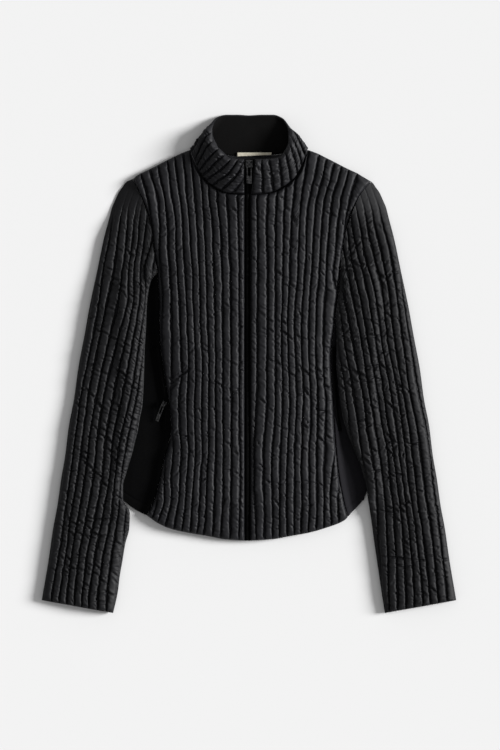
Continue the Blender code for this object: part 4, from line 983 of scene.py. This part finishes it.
def stitched_columns(side, places):
    """The columns of a quilted sleeve, as a function that gives their distances at heights."""
    return lambda y: between_lines(sleeve_lines(side, y), np.broadcast_to(places, y.shape))[0]


def plain_columns(side, across, inset):
    """The same for columns at shares of the way from the outer to the inner edge."""
    def out_at(y):
        outer, inner = sleeve_outer(y) - inset, sleeve_inner(side, y) + inset
        return outer + across * (inner - outer)
    return out_at


def sleeve_plan(side, out_at, downs, columns):
    """Plan position of a sleeve's columns, down from 0 at the armhole to 1 at the cuff."""
    low = np.full((1, columns), float(UNDERARM_Y))
    high = np.full((1, columns), SEAM[side]["y"][0])
    for _ in range(BISECTIONS):
        middle = (low + high) / 2
        beyond = out_at(middle) >= seam_out(side, middle) + SEAM_GAP
        low, high = np.where(beyond, middle, low), np.where(beyond, high, middle)
    bottom = np.full((1, columns), SLEEVE_BOTTOM)
    for _ in range(SETTLE):
        bottom = np.interp(out_at(bottom), *CUFF)
    down = downs[:, None]
    y = SLEEVE_TOP + (SLEEVE_BOTTOM - SLEEVE_TOP) * down
    upper, lower = SLEEVE_ENDS
    y = y + (low - SLEEVE_TOP) * (1 - down) ** upper + (bottom - SLEEVE_BOTTOM) * down**lower
    return out_at(y), y


def roundness(across, power):
    """0 at a sleeve's two edges and 1 over most of its width."""
    return np.sqrt(np.clip(1 - np.abs(2 * across - 1) ** power, 0, 1))


def sleeve_across(side, out, y):
    """Share of the way from a sleeve's outer edge to its inner edge."""
    outer = sleeve_outer(y)
    return np.clip((outer - out) / (outer - sleeve_inner(side, y)), 0, 1)


def sleeve_height(side, out, y, across, upper, inside):
    """Height of a sleeve's upper or lower cloth over the floor, at its outer face's
    stitched lines or on its inside."""
    lift = sleeve_lift(side, out, y)
    cap = ease((y - CAP_START) / CAP_BLEND)
    middle = SLEEVE_MID + SIDE_LIFT * lift - CAP_DROP * cap * (1 - across) ** 2
    loft = SLEEVE_LOFT * ease((SLEEVE_LOFT_TOP - y) / SLEEVE_LOFT_FADE) + CAP_RISE * cap
    crest = lift + BACK_WALL + LAYER_GAP + loft + (0.0 if inside else STITCHED)
    to_right = across if side == "left" else 1 - across
    crest = crest - SLEEVE_SLOPE * ease((to_right - SLOPE_START) / (1 - SLOPE_START)) * (1 - cap)
    slope = np.clip(across / CAP_SLOPE, 0, 1) ** CAP_POWER
    high = middle + (crest - middle) * (roundness(across, SLEEVE_DOME) * (1 - cap) + slope * cap)
    wall, cloth = (BACK_WALL, SLEEVE_UNDERSIDE) if inside else (0.0, 0.0)
    low = middle - (middle - lift - wall) * roundness(across, SLEEVE_UNDER)
    panel_ends = PANEL_TOP["y"][0] + BESIDE_PANEL, hem_y(side, out) - BESIDE_PANEL
    beside_panel = (y < panel_ends[0]) & (y > panel_ends[1])
    clear = np.where(beside_panel, panel_top(side, out, y) + SLEEVE_OVER_PANEL, 0.0)
    low = np.maximum(low, clear + cloth)
    return np.maximum(high, low + SLEEVE_HOLLOW) if upper else low


def sleeve_top(side):
    """The quilted upper face of a sleeve: its points, and each column's share across."""
    channels = len(SLEEVE_STITCHES[side])
    places, downs = fine_places(channels), fine_rows(SLEEVE_LENGTH)
    out, y = sleeve_plan(side, stitched_columns(side, places), downs, len(places))
    place = np.broadcast_to(places, out.shape)
    width = between_lines(sleeve_lines(side, y), place)[1]
    seed = SLEEVE_SEED[side]
    steady = ease(place) * ease(channels - place) * ease(downs / SLEEVE_STEADY)[:, None]
    out = out + SLEEVE_SWAY * waves(seed, place, y, SWAY) * steady
    across = sleeve_across(side, out, y)
    plan = points(SIGN[side] * out, y)
    height = puffed(seed, place, y, np.abs(width))
    scatter_creases(seed + 7, plan, height, *SMALL_CREASES["sleeve"])
    seen_creases(seed + 8, plan, height, CREASES[f"sleeve_{side}"])
    top, length = SLEEVE_CAP
    from_cuff = (1 - downs)[:, None] * SLEEVE_LENGTH
    full = at_least(CAP_RELIEF, ease((top - y) / length)) * pressed(from_cuff, *SLEEVE_PRESS)
    height = np.maximum(height, 0) * full * roundness(across, SLEEVE_FULL)
    height *= at_least(SLEEVE_TURNED, rolled(from_cuff, CUFF_ROLL))
    base = sleeve_height(side, out, y, across, True, False)
    return points(plan[..., 0], y, base + height), across[-1]


def sleeve_face(side, across, inset, rows, upper, inside):
    """A plain face of a sleeve: its underside, or one side of its inside."""
    out, y = sleeve_plan(side, plain_columns(side, across, inset), rows, len(across))
    height = sleeve_height(side, out, y, np.broadcast_to(across, y.shape), upper, inside)
    return points(SIGN[side] * out, y, height)


def dress_sleeve(side, cloth):
    top, top_at = sleeve_top(side)
    under = sleeve_face(side, UNDER_ACROSS, 0.0, fine_rows(SLEEVE_LENGTH), False, False)
    few, rows = shares(SLEEVE_INNER_COLUMNS), shares(INNER_ROWS)
    above, below = few[1:-1], few[-2:0:-1]
    inner = [
        sleeve_face(side, above, SLEEVE_EDGE, rows, True, True),
        sleeve_face(side, below, SLEEVE_EDGE, rows, False, True),
    ]
    outer_at = np.concatenate([top_at, 2 - UNDER_ACROSS]) / 2
    inner_at = np.concatenate([above, 2 - below]) / 2
    outer, inner = (np.concatenate(faces, axis=1) for faces in ([top, under], inner))
    return make_wall(f"quilt_sleeve_{side}", outer, inner, cloth, outer_at, inner_at, closed=True)


# ---- collar


def collar_lines():
    """The collar's base and rim as points from the right zip edge round to the left."""
    ends = []
    for edge in ("base", "rim"):
        y, z = COLLAR[f"{edge}_y"], COLLAR[f"{edge}_z"]
        right, left = (points(SIGN[side] * COLLAR[f"{edge}_{side}"], y, z) for side in SIGN)
        ends.append(np.concatenate([right, left[-2::-1]]))
    return ends


def collar_face(around, up, depth):
    """Points of the collar, depth inwards from the middle of its cloth: around from 0
    to 1 between the zip's edges, up from 0 at the neck seam to 1 at the rim. Also gives
    how far its channels show, from 0 where it lies on its outer face to 1."""
    base, rim = collar_lines()
    steps = np.linalg.norm(np.diff(base + rim, axis=0), axis=1)
    length = np.concatenate([[0], np.cumsum(steps)]) / steps.sum()
    low, high = (
        points(*(smooth_line(length, line[:, axis], around) for axis in range(3))) for line in (base, rim)
    )
    middle = low + up[..., None] * (high - low)
    normal = normals_of(middle)
    level, reach = COLLAR_SHOWS
    shows = ease((normal[..., 2] - level) / reach)
    bulge = COLLAR_BULGE * 4 * up * (1 - up) * shows
    return middle + normal * (bulge - depth)[..., None], shows


def collar_places(place, up):
    """Where the collar's columns stand at a share up, in channels round from the zip. The
    stitched lines of its right front slant, so the zip's edge cuts the first ones off."""
    slant = COLLAR_CUT * (1 - up) * (1 - ease(place / COLLAR_SLANT_REACH))
    return np.maximum(place + slant, COLLAR_SQUEEZE * (place + COLLAR_CUT))


def dress_collar(cloth):
    places = fine_places(COLLAR_CHANNELS + COLLAR_CUT) - COLLAR_CUT
    place, up = np.meshgrid(places, fine_rows(COLLAR_HEIGHT))
    channel, high = np.floor(place), up * COLLAR_HEIGHT
    width = collar_places(channel + 1, up) - collar_places(channel, up)
    around = collar_places(place, up)
    steady = ease(around) * ease(COLLAR_CHANNELS - around)
    around += COLLAR_SWAY * waves(COLLAR_SEED, place, high, SWAY) * steady
    shifted = np.clip(around / COLLAR_CHANNELS, 0, 1)
    _, shows = collar_face(shifted, up, 0.0)
    height = puffed(COLLAR_SEED, place + COLLAR_CUT, high, CHANNEL_PITCH * np.minimum(width, 1))
    flat = points(around * COLLAR_PITCH, high)
    scatter_creases(COLLAR_SEED + 7, flat, height, *SMALL_CREASES["collar"])
    edge = np.minimum(high, COLLAR_HEIGHT - high)
    height = np.maximum(height, 0) * pressed(edge, *COLLAR_PRESS) * shows
    roll = at_least(COLLAR_TURNED, rolled(edge + COLLAR_ROLL_START, COLLAR_ROLL))
    outer, _ = collar_face(shifted, up, -(COLLAR_HALF_WALL + height) * roll + COLLAR_IN)
    outer[..., 2] = np.maximum(outer[..., 2], 0.0)
    few, rows = (shares(count) for count in COLLAR_INNER_GRID)
    inner, _ = collar_face(*np.meshgrid(few, rows), COLLAR_HALF_WALL)
    outer_at = (places + COLLAR_CUT) / (COLLAR_CHANNELS + COLLAR_CUT)
    return make_wall("quilt_collar", outer, inner, cloth, outer_at, few)


def dress_facing(cloth):
    """The collar's plain inside, which starts beside the zip and hangs lower at the back."""
    low = FACING_FROM_ZIP / COLLAR_CHANNELS
    columns, rows = FACING_GRID
    around, up = np.meshgrid(np.linspace(low, 1 - low, columns), np.linspace(*FACING_ENDS, rows))
    drop, power = FACING_DROP
    up -= drop * ((1 - up) * np.sin(np.pi * around)) ** power
    near = COLLAR_HALF_WALL + SEAM_GAP
    drape = FACING_DRAPE * ripple(FACING_SEED, around, up, *FACING_WAVE) * np.sin(np.pi * up)
    outer, inner = (collar_face(around, up, near + deep)[0] for deep in (0.0, FACING_WALL))
    inner += normals_of(inner) * drape[..., None]
    return make_wall("jersey_facing", outer, inner, cloth)


def dress_label(cloth):
    """The label, which is narrower at the wearer's left."""
    length, width, thick = LABEL_SIZE
    share, down = np.meshgrid(*(shares(count) for count in LABEL_GRID))
    x = (share - 0.5) * length + LABEL_PLACE[0]
    y = LABEL_PLACE[1] + width * (0.5 - down * (1 - LABEL_TAPER * share))
    wave = LABEL_DRAPE * ripple(LABEL_SEED, x, y, *LABEL_WAVE)
    bottom = points(x, y, LABEL_PLACE[2])
    return make_wall("neck_tape", bottom + points(0, 0, thick + wave), bottom, cloth)


# ---- zip


def zip_tape_grid(side):
    """The top of one zip tape, from its middle edge to the first stitched line: behind
    the collar from the rim down, then behind the front down to the hem."""
    around, up = np.meshgrid(np.arange(3) / COLLAR_CHANNELS, np.array(TAPE_COLLAR_ROWS))
    depth = COLLAR_HALF_WALL + SEAM_GAP
    if side == "right":
        on_collar, _ = collar_face(around, up, depth)
    else:
        on_collar = collar_face(1 - around[:, ::-1], up, depth)[0][:, ::-1]
    place, down = np.meshgrid([0.0, 1.0], shares(TAPE_ROWS))
    out, y, _ = front_plan(side, place, down)
    on_front = points(SIGN[side] * out, y, front_inside(side, out, y) - SEAM_GAP)
    tape = np.concatenate([on_collar[::-1, :2], on_front])
    middle = tape[:, :1].copy()
    middle[..., 0] = read(ZIP_LINE, "y", "x", middle[..., 1]) + SIGN[side] * SEAM_GAP / 2
    return np.concatenate([middle, tape], axis=1)


def dress_zip_tape(side, cloth):
    upper = zip_tape_grid(side)
    return make_wall(f"woven_tape_{side}", upper, upper - (0, 0, TAPE_THICK), cloth)


def zip_line(y):
    """Height of the tapes' top under the zip at the heights y of the jacket."""
    edge = zip_tape_grid("right")[::-1, 0]
    return np.interp(y, edge[:, 1], edge[:, 2])


def dress_coil(nylon):
    """The closed coil from the slider down to the hem, with the teeth of its two sides
    staggered and a groove between them."""
    stop = SLIDER_Y - SLIDER_LENGTH / 2 - 2 * SEAM_GAP
    y = np.arange(stop, HEM["left"]["y"][0], -COIL_PITCH / TOOTH_ROWS)[:, None]
    x, foot = read(ZIP_LINE, "y", "x", y), zip_line(y) + SEAM_GAP
    across = np.linspace(-1, 1, COIL_COLUMNS)[None, :]
    turn = np.where(across < 0, 0.0, 0.5)
    tooth = 1 - TOOTH_DEPTH / 2 * (1 - np.cos(2 * np.pi * (y / COIL_PITCH + turn)))
    fall, power = COIL_DOME
    round_top = np.sqrt(1 - fall * np.abs(across) ** power)
    top = foot + COIL_HEIGHT * tooth * round_top - COIL_GROOVE * bell(across / COIL_GROOVE_BREADTH)
    ridge = points(x + across * COIL_WIDTH / 2, y, top)
    lower = points(x + np.array([-0.5, 0.5]) * COIL_WIDTH, y, foot)
    return make_wall("coil_teeth", ridge, lower, nylon)


# ---- stage


def add_camera(scene):
    """A camera over the middle of the picture, as high as its lens needs."""
    camera = bpy.data.objects.new("camera", bpy.data.cameras.new("camera"))
    scene.collection.objects.link(camera)
    scene.camera = camera
    camera.data.lens = CAMERA_LENS
    camera.data.sensor_width = CAMERA_SENSOR
    camera.location = (*VIEW_CENTRE, PHOTO_SIZE[1] * PIXEL * CAMERA_LENS / CAMERA_SENSOR)
    camera.rotation_euler = (0, 0, 0)
    camera.data.clip_end = CAMERA_SIGHT


def add_floor():
    paper, shader = shader_of("paper")
    speck = add_node(paper, "TexNoise", "Fac", Scale=FLOOR_SPECKS)
    colour = tones(paper, speck, [(level,) * 3 for level in FLOOR_TONES], (0, 1))
    feed(shader, Base_Color=colour, Roughness=FLOOR_ROUGHNESS, Specular_IOR_Level=FLOOR_GLOSS)
    bpy.ops.mesh.primitive_plane_add(size=2 * FLOOR_REACH)
    ground = bpy.context.object
    ground.name = "floor"
    ground.data.materials.append(paper)


def add_light(scene):
    """A low sun, whose direction is an azimuth and an elevation, and an even room."""
    sun = bpy.data.lights.new("key", "SUN")
    sun.energy, sun.angle = KEY_STRENGTH, math.radians(KEY_SPREAD)
    key = bpy.data.objects.new("key", sun)
    azimuth, elevation = (math.radians(angle) for angle in KEY_FROM)
    flat = math.cos(elevation)
    key.location = (flat * math.cos(azimuth), flat * math.sin(azimuth), math.sin(elevation))
    key.rotation_mode = "QUATERNION"
    key.rotation_quaternion = (-key.location).to_track_quat("-Z", "Y")
    scene.collection.objects.link(key)
    scene.world = bpy.data.worlds.new("room")
    scene.world.use_nodes = True
    room = scene.world.node_tree.nodes["Background"].inputs
    room["Color"].default_value = (1, 1, 1, 1)
    room["Strength"].default_value = FILL_STRENGTH


def make_stage():
    scene = bpy.context.scene
    scene.view_settings.view_transform = "Standard"
    add_camera(scene)
    add_floor()
    add_light(scene)


# ---- pieces


def wear(piece, node):
    """Put a piece on the jacket in place of a node of the frame."""
    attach(piece, "jacket")
    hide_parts(node)
    return piece


def main():
    materials = {name: textured(name, *recipe) for name, recipe in MATERIALS.items()}
    nylon, tape = materials["nylon"], materials["woven_tape"]
    for side in SIGN:
        wear(dress_front(side, nylon), f"front_{side}")
        # The sleeves get the darker copy of the nylon, which is painted shade.
        sleeve = dress_sleeve(side, materials["nylon_sleeve_painted_shade"])
        wear(sleeve, f"sleeve_{side}")
        # Each side panel gets its copy of the jersey: painted shade on the right, painted light on the
        # left.
        panel = dress_side_panel(side, materials[PANEL_JERSEY[side]])
        wear(panel, f"side_panel_{side}")
        wear(dress_pocket_zip(side, tape), f"pocket_zip_{side}")
    wear(dress_back(nylon), "back")
    collar = wear(dress_collar(nylon), "collar")
    facing = wear(dress_facing(materials["jersey_knit"]), "collar_facing")
    wear(dress_label(materials["label_weave"]), "neck_label")
    for side in SIGN:
        wear(dress_zip_tape(side, tape), f"zip_tape_{side}")
    wear(dress_coil(materials["coil_nylon"]), "zip_coil")
    # The sliders and pulls get the metal whose drifting colour is painted glints.
    for name in ("zip_slider", "zip_pull", "pocket_slider", "pocket_pull"):
        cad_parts[name].data.materials.clear()
        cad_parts[name].data.materials.append(materials["metal_painted_glints"])
    make_stage()


SHIFT = frame_shift()
main()
